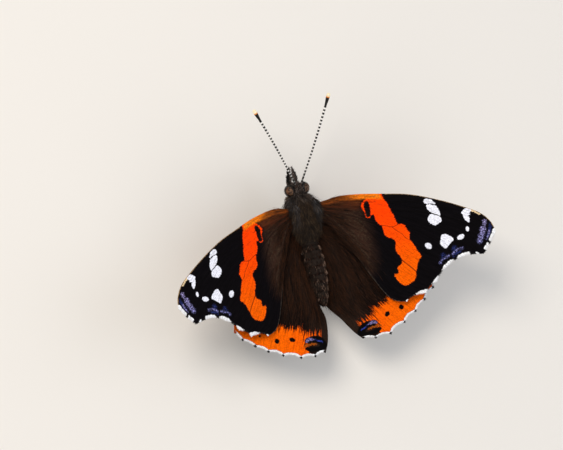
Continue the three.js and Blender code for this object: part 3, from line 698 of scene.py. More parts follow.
hindMarks = {
    "band": [(18.6, 15.6), (16.6, 16.3), (14.2, 17.8), (11.9, 18.9), (10.6, 19.2), (10, 18.95),
        (9.3, 19.3), (8.5, 19.65), (7.6, 19.85), (6.9, 19.9), (6.5, 21.1), (5.9, 21.3), (4.9, 21.3),
        (3.9, 21.5), (4.2, 22.2), (5.2, 21.9), (6.5, 22), (6.9, 22.8), (7.4, 26), (14, 25), (20, 20)],
    "dots": [[(11.12, 20.84), (11.5, 20.48), (11.94, 20.7), (11.94, 21.14), (11.5, 21.35)], [(8.3, 21.54),
        (8.66, 21.04), (9.24, 21.04), (9.24, 21.54), (8.66, 21.84)], [(14.05, 19.3), (14.35, 19.1),
        (14.6, 19.3), (14.35, 19.55)], [(16.3, 17.7), (16.6, 17.6), (16.75, 17.85), (16.5, 18)]],
    "edgeDots": [(17.7, 19.05), (15.7, 20.65), (13.65, 22.1), (11.25, 23.4), (8.35, 24.6)],
    "violet": [([(5.55, 22.12), (5.95, 22.05), (6.4, 22.2)], .26), ([(5.2, 22.3), (5.05, 22.4)], .08)],
    "blue": [([(4.9, 22.4), (4.5, 22.65), (3.8, 23.05)], .1)],
    "anal": [(3.2, 22.9), (3.9, 22), (5.3, 21.7), (6.5, 21.85), (6.75, 22.35), (6.1, 22.65), (4.9, 22.9),
        (4.4, 23.6), (5.6, 23.5), (6.9, 23.2), (7, 23.7), (5.6, 24.3), (4, 24.4), (3, 23.9)],
    "rust": [([(5, 23.15), (6, 22.95), (7.2, 22.95)], .16)],
}


def hindSurface(plan, share, relief, side):
    wing = hindWing
    turnBy = -math.radians(wing["swing"][side])
    hinge = np.array(wing["hinge"])
    gap = plan - hinge
    x = hinge[0] + gap[:, 0] * math.cos(turnBy) - gap[:, 1] * math.sin(turnBy)
    y = hinge[1] + gap[:, 0] * math.sin(turnBy) + gap[:, 1] * math.cos(turnBy)
    roll = wing["curl"][side] * np.maximum(0, plan[:, 1] - wing["curlFrom"])**2
    roll = roll * np.maximum(0, 1 - plan[:, 0] / wing["curlWidth"])
    z = wing["rise"] * (plan[:, 1] - wing["riseFrom"])
    z = z + wing["spread"] * (plan[:, 0] - wing["spreadFrom"])
    z = z + wing["lift"][1] * np.maximum(0, plan[:, 0] - wing["lift"][0])**2
    front, full, rear, behind = wing["beside"]
    beside = ease(plan[:, 1], front, full) * (1 - ease(plan[:, 1], rear, behind))
    for (reach, amount), part in ((wing["flank"], beside), (wing["fold"], 1 - beside)):
        z = z - part * amount * np.maximum(0, reach - plan[:, 0])**2
    z = z + relief + wing["raised"] * ease(plan[:, 0], 2.5, 6) - wing["curlDown"] * roll
    return np.stack([side * x, y - wing["curlIn"] * roll, z], 1)


def hindFields(plan):
    outline = outerEdge(hindWing)
    edge = pathDistance(plan, outline)
    spots = [np.linalg.norm(plan - np.array(spot), axis=1) for spot in hindMarks["edgeDots"]]
    return {
        "band": areaField(plan, smoothCurve(hindMarks["band"], 6, closed=True)),
        "bandGrade": ease(plan[:, 0], 4, 14),
        "comb": (1 - ease(plan[:, 0], 10.5, 14)) * (1 - ease(edge, 5.5, 7)),
        "dark": np.maximum(markField(plan, hindMarks["dots"]), 0.27 - np.min(spots, axis=0)),
        **strokeFields(plan, hindMarks, "violet", "rust", "blue"),
        "margin": 0.47 - edge,
        "fringe": np.minimum(0.42 - edge, fringeField(plan, "hind")),
        "fold": 4.6 - plan[:, 0] + 0.07 * (plan[:, 1] - 12),
        "ripple": (0.5 * np.sin(edge * 1.9 + np.sin(plan[:, 0] * 0.9))
                   + 0.3 * np.sin(plan[:, 0] * 1.7 + edge)),
        "anal": markField(plan, [hindMarks["anal"]]),
        "outer": plan[:, 0] - 10,
    }


hindUpper = scaleMaterial("wing_scales_brown_upper", ("#0d0705", "#1b0f0a"), [
    mark("fold", 0.8, "#261a14", hairy=0.3),
    mark("outer", 2.2, "#120905", strength=0.75),
    mark("vein", 0.1, "#0c0706", strength=0.4),
    mark("band", 0.06, "#f25c00", "#f06400", ragged=1.2, hairy=2.6, hairyBy="comb", grade="bandGrade"),
    mark("anal", 0.07, "#060506", ragged=1.3),
    mark("rust", 0.1, "#a4500f", ragged=1.5, strength=0.8),
    mark("dark", 0.05, "#060505"),
    mark("blue", 0.06, "#2f3f96", ragged=1.8, share=0.8),
    mark("violet", 0.1, "#8f86c0", ragged=2.6, mosaic=0.35, share=0.85),
    mark("margin", 0.05, "#0a0706", strength=0.6),
    mark("fringe", 0.05, "#eef1f6", ragged=0.6),
], rowTurn=65, speckle=0.22, grain=0.35, roughness=0.74, specular=0.03, sheen=0.02, sheenColour="#a0542c")

hindUnder = scaleMaterial("wing_scales_bark_under", ("#1c1511", "#4c3d31"), [
    mark("ripple", 0.5, "#6b5847", ragged=3.5, strength=0.45),
    mark("ripple", 0.4, "#0f0b09", ragged=4, share=0.3, strength=0.5),
    mark("vein", 0.15, "#6a5848", strength=0.5),
    mark("anal", 0.4, "#2e3750", ragged=3, strength=0.6),
    mark("dark", 0.5, "#3d4d63", ragged=2, strength=0.7),
    mark("margin", 0.2, "#7c6a57", strength=0.7),
    mark("fringe", 0.05, "#e6e4e0"),
], rowTurn=65, speckle=0.3, grain=0.35, roughness=0.74, specular=0.08, sheen=0.05, sheenColour="#9a8f80")

for name, side in sides.items():
    wings["hind", name] = wingSheet(f"hindwing_scales_{name}", hindWing, side, hindSurface, hindFields,
                                    [hindUpper, hindUnder])
print("wings made")

# Body: one skin over head, thorax and abdomen. Rings: distance tailward, half width, height, depth.

bodySkin = {
    "front": [(-3.62, .1, .1, .1), (-3.5, .62, .6, .6), (-3.2, 1.08, 1.02, .92),
        (-2.75, 1.32, 1.24, 1.08), (-2.2, 1.5, 1.22, 1), (-1.85, 1.58, 1.22, .98),
        (-1.5, 1.8, 1.32, 1.05), (-1.1, 2.05, 1.55, 1.4), (-.5, 2.3, 1.9, 1.8), (.6, 2.48, 2.27, 2.12),
        (2, 2.55, 2.45, 2.25), (3.4, 2.38, 2.3, 2.1), (4.6, 2.02, 1.95, 1.8), (5.5, 1.6, 1.5, 1.4),
        (6.2, 1.3, 1.12, 1.1)],
    "tail": [(6.8, 1.42), (7.7, 1.6), (8.9, 1.72), (10.2, 1.77), (12.4, 1.67), (14.6, 1.33), (16.3, .9),
        (17.1, .55), (17.35, .12)],
    "tailHeight": 0.93, "tailDepth": 0.98,
    "segmentFrom": 6.3, "segmentEvery": 1.39, "segmentStep": 0.1,
    "lobes": [((1.95, .85, 1.72), (.66, 1.6, .58)), ((.8, -1.0, 1.2), (.72, .45, .5))],
    "voxel": 0.1, "patchFrom": -3.8, "patchLength": 21.4,
}


def skinMesh():
    rings = bodySkin["front"] + [(y, w, w * bodySkin["tailHeight"], w * bodySkin["tailDepth"])
                                 for y, w in bodySkin["tail"]]
    fine = smoothCurve(rings, 10)
    bm = bmesh.new()
    bmesh.ops.create_uvsphere(bm, u_segments=56, v_segments=200, radius=1,
                              matrix=Matrix.Rotation(math.radians(-90), 4, "X"))
    for vert in bm.verts:
        place = math.acos(max(-1, min(1, -vert.co.y))) / math.pi
        y = fine[0, 0] + (fine[-1, 0] - fine[0, 0]) * place
        wide, high, deep = (np.interp(y, fine[:, 0], fine[:, k]) for k in (1, 2, 3))
        cycle = (y - bodySkin["segmentFrom"]) / bodySkin["segmentEvery"]
        if cycle > 0.6:
            step = bodySkin["segmentStep"] * ((cycle % 1) ** 3 - 0.4)
            wide, high, deep = wide + step, high + step, deep + step
        across = math.hypot(vert.co.x, vert.co.z)
        if across < 1e-4:
            vert.co = (0, y, 0)
        else:
            x, z = vert.co.x / across, vert.co.z / across
            vert.co = (wide * x, y, (high if z > 0 else deep) * z)
    for (x, y, z), radii in bodySkin["lobes"]:
        for side in sides.values():
            shape = Matrix.Translation((side * x, y, z)) @ Matrix.Diagonal((*radii, 1))
            bmesh.ops.create_uvsphere(bm, u_segments=24, v_segments=16, radius=1, matrix=shape)
    return toMesh(bm, "body_skin")


# Velvety grey-brown down close to the body, under the longer hair.
def downMaterial(name, dark, light):
    addNode, close = newMaterial(name)
    place = addNode("TexCoord", {}, "Object")
    fine = addNode("TexNoise", {"Vector": place, "Scale": 1 / (0.12 * mm), "Detail": 3})
    broad = addNode("TexNoise", {"Vector": place, "Scale": 1 / (1.2 * mm), "Detail": 2})
    mixed = addNode("Math", {0: fine, 1: broad}, operation="MULTIPLY")
    paint = addNode("Mix", {0: mixed, 6: colour(dark), 7: colour(light)}, 2, data_type="RGBA")
    bump = addNode("Bump", {"Height": fine, "Strength": 0.8, "Distance": 0.06 * mm})
    return close({"Base Color": paint, "Normal": bump, "Roughness": 0.85, "Specular IOR Level": 0.15})


skin = addObject("body_skin", skinMesh(), [downMaterial("body_down", "#17110d", "#3a2f28")])
remesh = skin.modifiers.new("one surface", "REMESH")
remesh.mode = "VOXEL"
remesh.voxel_size = bodySkin["voxel"]
remesh.use_smooth_shade = True
smooth = skin.modifiers.new("soften", "SMOOTH")
smooth.iterations = 4
skinShape = applied(skin)
print("skin made", len(skinShape.polygons))


# Where a root lies on the skin unrolled about the body's axis.
def skinPatch(points):
    around = np.arctan2(points[:, 0], points[:, 2]) / (2 * math.pi) + 0.5
    along = 0.98 * (points[:, 1] - bodySkin["patchFrom"]) / bodySkin["patchLength"]
    return np.stack([0.01 + 0.98 * around, 0.01 + along], 1)


def rgb(code):
    return np.array(colour(code)[:3])


# One of the colours for each tuft.
def tones(codes, count, shares=None):
    kinds = len(codes)
    picks = chance.choice(kinds, count, p=shares) if shares else chance.integers(0, kinds, count)
    return np.array([rgb(code) for code in codes])[picks]


def blend(low, high, share):
    return low + (high - low) * np.reshape(share, (-1, 1))


# Patches of lighter and darker hair, drawn out along the body, from 0 to 1.
def clumps(points, across, along):
    x, y, z = points.T
    around = np.arctan2(x, z + 3) * 4
    wave = np.sin(around * across + 1.7 * np.sin(y * along))
    return 0.5 + 0.5 * (wave * np.sin(y * along * 1.6 + 2 * np.sin(around * across * 0.6)))


def bodyTones(points):
    x, y, z = np.abs(points[:, 0]), points[:, 1], points[:, 2]
    count = len(points)
    thorax = tones(["#2f2116", "#413020", "#1a120d", "#5d4a36", "#281c14", "#19120d", "#77634b"],
                   count, (.2, .18, .2, .12, .14, .12, .04))
    grey = tones(["#46474b", "#5c5d63", "#2f2f32", "#77777c"], count)
    abdomen = tones(["#140a07", "#22130d", "#0c0605", "#371f16"], count)
    pale = tones(["#8c7060", "#a58a7a", "#705849", "#55402f"], count)
    under = tones(["#6f6152", "#594b3e", "#857665"], count)
    head = tones(["#29211e", "#4a3d37", "#15100e", "#6f6059", "#8b7f79"], count)
    streak = ease(x, 1.15, 1.5) * (1 - ease(x, 2, 2.4)) * ease(y, -2, -1.4) * (1 - ease(y, 1.6, 3.6))
    streak = 0.8 * streak * ease(z, 0, 0.7) * ease(chance.normal(0.5, 0.35, count), 0.2, 0.8)
    made = np.where((y > 6.1)[:, None], abdomen, thorax)
    made = blend(made, head, ease(-y + chance.normal(0, 0.3, count), 0.7, 1.7))
    made = blend(made, grey, streak)
    segment = (y - bodySkin["segmentFrom"]) / bodySkin["segmentEvery"] % 1
    width = np.interp(y, [6, 10, 14, 17.4], [1.5, 1.75, 1.4, 0.3])
    flank = ease(x / width, 0.48, 0.7) * (0.25 + 0.75 * ease(segment, 0.3, 0.5))
    # Pale hair on the flanks is their own colour; keeping most of it on the right flank is painted light,
    # that side lit and the left in shade.
    flank = flank * np.where(points[:, 0] < 0, 1, 0.15)
    rim = np.maximum((0.06 + 0.24 * ease(y, 11, 14)) * clumps(points, 1.3, 0.8), flank) * (y > 6.8)
    isPale = chance.random(count) < rim
    made = np.where(isPale[:, None], pale, made)
    made = blend(made, under, ease(-z, 0.35, 1.1))
    return made * (0.4 + 1.2 * clumps(points, 2.6, 1.5))[:, None] * chance.uniform(0.6, 1.4, (count, 1))


# Hair lies tailward, parts at the middle of the back and falls a little on the sides.
def bodyLie(points):
    x, y = points[:, 0], points[:, 1]
    ones = np.ones(len(x))
    lie = np.stack([0.16 * np.sign(x) * ease(np.abs(x), 0, 1), ones, -0.12 * ones], 1)
    front = ease(-y, 1.7, 2.3)[:, None]
    ahead = np.stack([0.25 * np.sign(x), -ones, 0.45 * ones], 1)
    return lie * (1 - front) + ahead * front


coatKeys = ("count", "from", "to", "length", "width", "flat", "lift", "droop", "spread", "longer", "curl")
coats = {
    "thorax_hair": (12000, -1.5, 6.4, (0.75, 1.45), 0.055, 0.5, 20, 0.16, 14, 0.5),
    "thorax_down": (6500, -1.6, 6.4, (0.5, 1.0), 0.05, 0.5, 26, 0.2, 22, 0.3),
    "thorax_wisps": (1500, -1.5, 5.6, (1.2, 1.9), 0.035, 0.7, 26, 0.2, 18, 0.3, 0.12),
    "abdomen_hair": (10200, 6, 17.4, (0.4, 0.8), 0.065, 0.4, 13, 0.1, 12, 0.3),
    "head_hair": (7000, -3.7, -1.1, (0.35, 0.85), 0.038, 0.6, 42, 0.12, 24, 0),
    "face_hair": (1300, -3.7, -3.15, (0.6, 1.3), 0.04, 0.6, 24, 0.05, 16, 0),
}
bodyHair = hairMaterial("body_hair_bristles", 0.6, 0.12)
abdomenHair = hairMaterial("abdomen_hair_scales", 0.6, 0.03)
for name, row in coats.items():
    coat = dict(zip(coatKeys, row))
    roots, normals = scatter(skinShape, coat["count"],
                             lambda p: (p[:, 1] > coat["from"]) * (p[:, 1] < coat["to"]) * 1.0)
    scale = 1 + coat["longer"] * ease(np.abs(roots[:, 0]), 1.2, 2) + 0.7 * ease(-roots[:, 1], 3, 3.45)
    # longer to fill the neck, short on the shoulders' front and beside the eyes
    scale = scale + 0.5 * ease(-roots[:, 1], 1, 1.5) * (1 - ease(-roots[:, 1], 1.9, 2.4))
    scale = scale * (1 - 0.6 * ease(-normals[:, 1], 0.45, 0.85) * (roots[:, 1] > -1.7))
    eyeGap = np.linalg.norm(np.abs(roots) * (1, 0, 0) + roots * (0, 1, 1) - stance["eyeAt"], axis=1)
    scale = scale * (0.25 + 0.75 * ease(eyeGap, 1.05, 1.6))
    lie, hue = bodyLie(roots), bodyTones(roots)
    if name == "face_hair":
        lie = np.tile([0, -1, 0.12], (len(roots), 1))
        normals = unit(normals + 2 * lie)
        hue = tones(["#8f7d75", "#6d5c56", "#a6958c", "#3a2d29", "#231a18"], len(roots))
        scale = 1 - 0.6 * ease(roots[:, 2], 0.2, 0.8)
    growTufts(name, roots, normals, lie, hue, skinPatch(roots), {**coat, "scale": scale},
              abdomenHair if name == "abdomen_hair" else bodyHair, "body_hair")
settle(skin, "body_hair", "head", "thorax", "abdomen")

# Eyes: a hard cornea in fine facets over brown pigment, dull because short bristles stand all over it.

eyes = {
    "place": (1.2, -2.76, .15), "radii": (.99, 1.07, 1.08), "facet": 0.05, "hairs": 900,
    "coat": {"length": (0.1, 0.2), "width": 0.018, "flat": 1, "lift": 70, "droop": 0.05, "spread": 25,
             "sink": 0.02},
}


def eyeMaterial():
    addNode, close = newMaterial("eye_cornea_facets")
    place = addNode("TexCoord", {}, "Object")
    facets = addNode("TexVoronoi", {
        "Vector": place, "Scale": 1 / (eyes["facet"] * mm), "Randomness": 0.3,
    }, "Distance")
    cloud = addNode("TexNoise", {"Vector": place, "Scale": 1 / (0.32 * mm), "Detail": 3})
    patchy = addNode("MapRange", {"Value": cloud, "From Min": 0.4, "From Max": 0.6})
    # rim: painted shade. The eye goes near black towards the head, at its front and over its lower part,
    # leaving a lit cap on top and outward.
    rim = addNode("Attribute", {}, "Fac", attribute_name="rim")
    paintedGlow = addNode("Attribute", {}, "Fac", attribute_name="paintedGlow")
    brown = addNode("Mix", {0: patchy, 6: colour("#1b100b"), 7: colour("#745742")}, 2, data_type="RGBA")
    # A painted glow: orange-brown light on the eye's outer side, not pigment.
    warm = addNode("Mix", {0: paintedGlow, 6: brown, 7: colour("#7d431f")}, 2, data_type="RGBA")
    paint = addNode("Mix", {0: rim, 6: warm, 7: colour("#0b0706")}, 2, data_type="RGBA")
    bump = addNode("Bump", {"Height": facets, "Strength": 0.7, "Distance": -0.02 * mm})
    return close({
        "Base Color": paint, "Normal": bump, "Roughness": 0.4, "IOR": 1.5, "Specular IOR Level": 0.2,
        "Coat Weight": 0.06, "Coat Roughness": 0.25,
    })


cornea = eyeMaterial()
for name, side in sides.items():
    bm = bmesh.new()
    bmesh.ops.create_icosphere(bm, subdivisions=5, radius=1)
    mesh = toMesh(bm, f"eye_facets_{name}")
    ball = getPoints(mesh)
    outward, forward, above = ball[:, 0] * side, -ball[:, 1], ball[:, 2]
    # Painted shade for the rim: towards the head, at the front, and everywhere below a lit cap on the
    # upper outer side.
    inner = np.maximum(ease(-outward, -0.12, 0.25), ease(forward - 0.45 * outward, 0.25, 0.6))
    store(mesh, "rim", np.maximum(inner, 0.93 * (1 - ease(0.35 * outward + 0.94 * above, 0.6, 0.8))))
    # The painted glow, strongest on the outer side at mid height.
    store(mesh, "paintedGlow", ease(outward - 0.5 * np.abs(above - 0.4), 0.1, 0.95) * 0.4)
    setPoints(mesh, ball * eyes["radii"] + mirrored([eyes["place"]], side))
    globe = addObject(f"eye_facets_{name}", mesh, [cornea])
    roots, normals = scatter(mesh, eyes["hairs"], lambda p: (p[:, 0] * side > 1) * 1.0)
    hue = tones(["#3a2a1f", "#54402f", "#1e1511"], len(roots))
    lie = np.tile([0.3 * side, -1.0, 0.2], (len(roots), 1))
    patches = 0.5 + 0.45 * normals[:, 1:]
    growTufts(f"eye_hair_{name}", roots, normals, lie, hue, patches, eyes["coat"], bodyHair, "body_hair")
    settle(globe, "eye_facets", f"eye_{name}")

# Antennae: thin ringed rods of black chitin, each ring dusted white at its root, with a flat black
# club that ends in orange and cream.

antenna = {
    "root": (.3, -3.1, 1.2), "tip": (6.9, -17.2, 7.3), "arch": .6, "shaft": (.15, .19), "club": .33,
    "clubLength": 2.2, "rings": 24, "cells": 8, "round": 14, "bulge": .015, "whiteShare": (.4, .52),
    "orangeFrom": .66, "creamFrom": .74,
}


def antennaMaterial():
    addNode, close = newMaterial("antenna_ringed_cuticle")
    tone = addNode("Attribute", {}, "Vector", attribute_name="tone")
    place = addNode("TexCoord", {}, "Object")
    grain = addNode("TexVoronoi", {"Vector": place, "Scale": 1 / (0.06 * mm)}, "Distance")
    bump = addNode("Bump", {"Height": grain, "Strength": 0.4, "Distance": 0.02 * mm})
    return close({
        "Base Color": tone, "Normal": bump, "Roughness": 0.6, "IOR": 1.56, "Specular IOR Level": 0.25,
    })


ringed = antennaMaterial()
for name, side in sides.items():
    start, end = mirrored([antenna["root"], antenna["tip"]], side)
    length = np.linalg.norm(end - start)
    clubFrom = 1 - antenna["clubLength"] / length
    shaftAt = np.linspace(0, clubFrom, antenna["rings"] * antenna["cells"] + 1)
    clubAt = np.linspace(clubFrom, 1, 40)[1:]
    at = np.concatenate([shaftAt, clubAt])
    phase = (at / clubFrom * antenna["rings"]) % 1
    swell = np.sin(math.pi * phase) * antenna["bulge"]
    clubT = np.clip((at - clubFrom) / (1 - clubFrom), 0, 1)
    clubShape = np.interp(clubT, [0, .15, .35, .6, .8, .92, .98, 1], [0, .2, .55, .9, 1, .8, .3, -.6])
    thin, thick = antenna["shaft"]
    shaft = np.interp(at / clubFrom, [0, 0.4, 1], [thin, thin, thick])
    radii = shaft + np.where(clubT > 0, 0, swell) + (antenna["club"] - thick) * clubShape
    path = start + (end - start) * at[:, None]
    path[:, 2] += antenna["arch"] * np.sin(math.pi * at)
    rod = bentRod(f"antenna_rings_{name}", path, radii, antenna["round"], ringed)
    points = getPoints(rod.data)
    nearest = np.clip(((points - start) @ (end - start)) / length**2, 0, 1)
    ring = (nearest / clubFrom * antenna["rings"]) % 1
    part = np.interp(nearest, (0, 1), antenna["whiteShare"])
    white = (1 - ease(ring, part - .04, part + .04)) * ease(ring, 0, .06) * (nearest < clubFrom)
    white = white * (0.25 + 0.75 * ease(nearest, 0.08, 0.24))
    clubPart = (nearest - clubFrom) / (1 - clubFrom)
    tone = blend(rgb("#060505"), rgb("#f1f0ec"), white)
    tone = blend(tone, rgb("#33221a"), 1 - ease(nearest, .02, .07))
    for code, part in (("#ef8a26", antenna["orangeFrom"]), ("#fff3cf", antenna["creamFrom"])):
        tone = blend(tone, rgb(code), ease(clubPart, part - .03, part + .03))
    store(rod.data, "tone", tone)
    settle(rod, "antenna_cuticle", f"antenna_{name}")

# Palps: two beaks of long hair scales in front of the face, dark above and pale at the sides.

palp = {
    "path": [(.54, -3.1, -.7), (.56, -4.1, -.95), (.52, -5, -.95), (.4, -5.9, -.75), (.28, -6.45, -.57)],
    "radii": (.3, .33, .3, .19, .06),
    "coat": {"length": (0.3, 0.65), "width": 0.045, "flat": 0.5, "lift": 10, "droop": 0.05, "spread": 8},
    "count": 3200,
}
palpSkin = downMaterial("palp_down", "#0c0a09", "#2a241f")
palpHair = hairMaterial("palp_hair_scales", 0.6, 0.15)


# The way along a path at the places nearest to some points.
def pathLie(points, path):
    gaps = np.linalg.norm(points[:, None] - path[None], axis=2)
    near = np.clip(gaps.argmin(1), 1, len(path) - 2)
    return unit(path[near + 1] - path[near - 1]), near / (len(path) - 1)


for name, side in sides.items():
    path, radii = smoothPath(mirrored(palp["path"], side), palp["radii"], 8)
    core = bentRod(f"palp_core_{name}", path, radii, 16, palpSkin)
    roots, normals = scatter(core.data, palp["count"], lambda p: np.ones(len(p)))
    lie, share = pathLie(roots, path)
    dark = tones(["#0a0808", "#151110", "#060505"], len(roots))
    pale = tones(["#82726b", "#685a54", "#94857d", "#3a302c"], len(roots))
    light = ease(0.25 * normals[:, 2] - normals[:, 0] * side, -0.1, 0.4)
    hue = blend(dark, pale, np.maximum(light, 0.7 * ease(-normals[:, 2], 0.2, 0.8)))
    around = np.arctan2(normals[:, 0], normals[:, 2]) / math.pi
    patches = np.stack([0.02 + 0.96 * share, 0.5 + 0.45 * around], 1)
    settle(core, "palp_hair", f"palp_{name}")
    growTufts(f"palp_hair_{name}", roots, normals, lie, hue, patches, palp["coat"], palpHair,
              "palp_hair", f"palp_{name}")

# Tongue: a ribbed tube of brown cuticle, rolled up between the palps.

tongue = {
    "stalk": [(0, -2.9, -.8), (0, -3.08, -1.9)], "centre": (-4.1, -2.85), "outer": .98,
    "pitch": .36, "turns": 2.6, "radius": .15, "steps": 190,
}
turns = np.linspace(0, tongue["turns"], tongue["steps"])
reach = tongue["outer"] - tongue["pitch"] * turns
coil = np.stack([0 * turns, tongue["centre"][0] + reach * np.cos(-2 * math.pi * turns),
                 tongue["centre"][1] + reach * np.sin(-2 * math.pi * turns)], 1)
path = np.concatenate([smoothCurve(np.array(tongue["stalk"] + [tuple(coil[0])]), 10), coil[1:]])
ribs = 1 + 0.06 * np.sin(np.arange(len(path)) * 1.6)
radii = tongue["radius"] * np.linspace(1.15, 0.55, len(path)) * ribs
tongueSkin = cuticleMaterial("tongue_ribbed_cuticle", "#1b110b", "#4a3322", 0.05, 0.35)
settle(bentRod("tongue_coil", path, radii, 12, tongueSkin), "tongue_cuticle", "proboscis")
print("head made")

# Legs. The two front ones are small brushes folded under the chest.

legs = {
    "foreleg": {
        "path": [(.8, .5, -2.1), (.9, -.4, -2.6), (.9, -1.3, -2.6), (.9, -1.5, -3), (.88, -.8, -3.3),
                 (.8, .2, -3.35), (.79, .5, -3.35)],
        "radii": (.26, .26, .2, .18, .2, .12, .02), "count": 2200, "brush": (0.35, 0.75), "paler": 1.5,
    },
    "midleg": {"hip": (1.25, 1.6, 5), "knee": (4.9, 1.7, 5.8), "ankle": (6.5, 2.6, .45),
               "toe": (9.2, 3.4)},
    "hindleg": {"hip": (1.2, 3.8, 4.8), "knee": (4.6, 7.2, 5.3), "ankle": (6, 10.9, .45),
                "toe": (7.5, 14.1)},
    "femur": (.26, .36, .36, .3, .24), "knee": .22, "tibia": (.22, .2, .2, .2, .22), "foot": .14,
    "joints": 5,
    "coat": {"length": (0.18, 0.38), "width": 0.05, "flat": 0.35, "lift": 14, "droop": 0, "spread": 10},
    "spine": {"length": (0.3, 0.45), "width": 0.05, "flat": 1, "lift": 42, "droop": 0, "spread": 6,
              "rootShade": 1},
    "scales": 1900, "spines": 60,
}
legSkin = cuticleMaterial("leg_cuticle_brown", "#3d2f24", "#7b6650", 0.06, 0.5)
legHair = hairMaterial("leg_hair_scales", 0.6, 0.15)
animalAt = np.array(origin) / mm


# Legs that stand are given from the floor, so they are turned back into the animal's frame.
def fromFloor(points, side):
    placed = mirrored(points, side) + (0, animalAt[1], 0) - animalAt
    return placed @ np.array(turn)


def legPath(leg, side):
    height = legs["foot"] + 0.01
    femur = np.linspace(leg["hip"], leg["knee"], 6)[:-1]
    tibia = np.linspace(leg["knee"], leg["ankle"], 7)
    heel = np.array((leg["ankle"][0], leg["ankle"][1], height))
    toe = np.array((*leg["toe"], height))
    foot = [heel + (toe - heel) * t for t in np.linspace(0.08, 1, 4 * legs["joints"])]
    points = np.concatenate([femur, tibia[:-1], foot])
    radii = list(legs["femur"]) + [legs["knee"]] + list(legs["tibia"])
    radii += [legs["foot"] * (0.8 + 0.3 * abs(math.sin(math.pi * k / 4))) for k in range(len(foot))]
    path, widths = smoothPath(fromFloor(points, side), radii, 5)
    widths[-4:] *= np.linspace(0.9, 0.35, 4)
    return path, widths


for name, side in sides.items():
    for kind in ("foreleg", "midleg", "hindleg"):
        leg = legs[kind]
        if kind == "foreleg":
            path, radii = smoothPath(mirrored(leg["path"], side), leg["radii"], 8)
        else:
            path, radii = legPath(leg, side)
        core = bentRod(f"{kind}_core_{name}", path, radii, 12, legSkin)
        scaleCount = leg.get("count", legs["scales"])
        coat = {**legs["coat"], "length": leg["brush"], "lift": 24} if "brush" in leg else legs["coat"]
        for part, tuft, count in (("coat", coat, scaleCount), ("spine", legs["spine"], legs["spines"])):
            roots, normals = scatter(core.data, count, lambda p: np.ones(len(p)))
            lie, share = pathLie(roots, path)
            hue = tones(["#4d3f32", "#2e2620", "#7d6c58", "#5f5040"], count)
            hue = hue * leg.get("paler", 1)
            patches = np.stack([0.02 + 0.96 * share, 0.02 + 0.96 * chance.random(count)], 1)
            growTufts(f"{kind}_{part}_{name}", roots, normals, lie, hue, patches, tuft, legHair,
                      "leg_cuticle", f"{kind}_{name}")
        settle(core, "leg_cuticle", f"{kind}_{name}")
print("legs made")

# Long hairs that lie on the wings near the body, and the fringe of scales round the margins.

wingHair = {
    "fore": {"count": 3600, "length": (0.9, 2.0), "width": 0.035, "flat": 0.6, "lift": 5, "droop": 0.06,
             "spread": 5, "sink": 0.02},
    "hind": {"count": 7000, "length": (1.2, 2.8), "width": 0.038, "flat": 0.6, "lift": 5, "droop": 0.06,
             "spread": 5, "sink": 0.02},
}
fringe = {"step": 0.035, "length": (0.28, 0.44), "width": 0.09, "flat": 0.3, "lift": 3, "droop": 0,
          "spread": 5, "sink": 0, "rootShade": 0.9, "rootIn": 0.36, "whiteIn": 0.25}
surfaces = {"fore": (foreWing, foreSurface), "hind": (hindWing, hindSurface)}
hairSkin = hairMaterial("wing_hair", 0.55, 0.06)
fringeSkin = hairMaterial("fringe_scales", 0.7, 0.1)


# The wing's upper face at shares of its length and width, with the way to the margin there.
def onWing(kind, side, share):
    wing, surface = surfaces[kind]
    sheet = flatSheet(wing)
    size = np.array(wing["cells"])

    def at(where):
        where = np.clip(where, 0, 1)
        spot = where * size
        low = np.minimum(spot.astype(int), size - 1)
        part = spot - low
        corners = [sheet[low[:, 0] + i, low[:, 1] + j] for i in (0, 1) for j in (0, 1)]
        weights = [(part[:, 0] if i else 1 - part[:, 0]) * (part[:, 1] if j else 1 - part[:, 1])
                   for i in (0, 1) for j in (0, 1)]
        plan = sum(corner * weight[:, None] for corner, weight in zip(corners, weights))
        return surface(plan, where, np.zeros(len(plan)), side), plan

    here, plan = at(share)
    outward = at(share + (0.01, 0))[0] - at(share - (0.01, 0))[0]
    rearward = at(share + (0, 0.01))[0] - at(share - (0, 0.01))[0]
    normals = unit(np.cross(outward, rearward)) * side
    return here + normals * membrane["thick"] / 2, normals, unit(outward), plan


def hairShares(kind, count):
    pool = chance.random((count * 8, 2))
    u, v = pool[:, 0], pool[:, 1]
    if kind == "fore":
        keep = np.exp(-(u / 0.17) ** 2) * (0.2 + 0.8 * v)
        keep = keep + 0.7 * ease(v, 0.78, 1) * (1 - ease(u, 0.35, 0.7))
    else:
        keep = ease(v, 0.1, 0.55) * (1 - ease(u, 0.55, 0.8)) + 0.5 * np.exp(-(u / 0.3) ** 2)
    chosen = np.flatnonzero(chance.random(len(pool)) < keep)[:count]
    return pool[chosen]


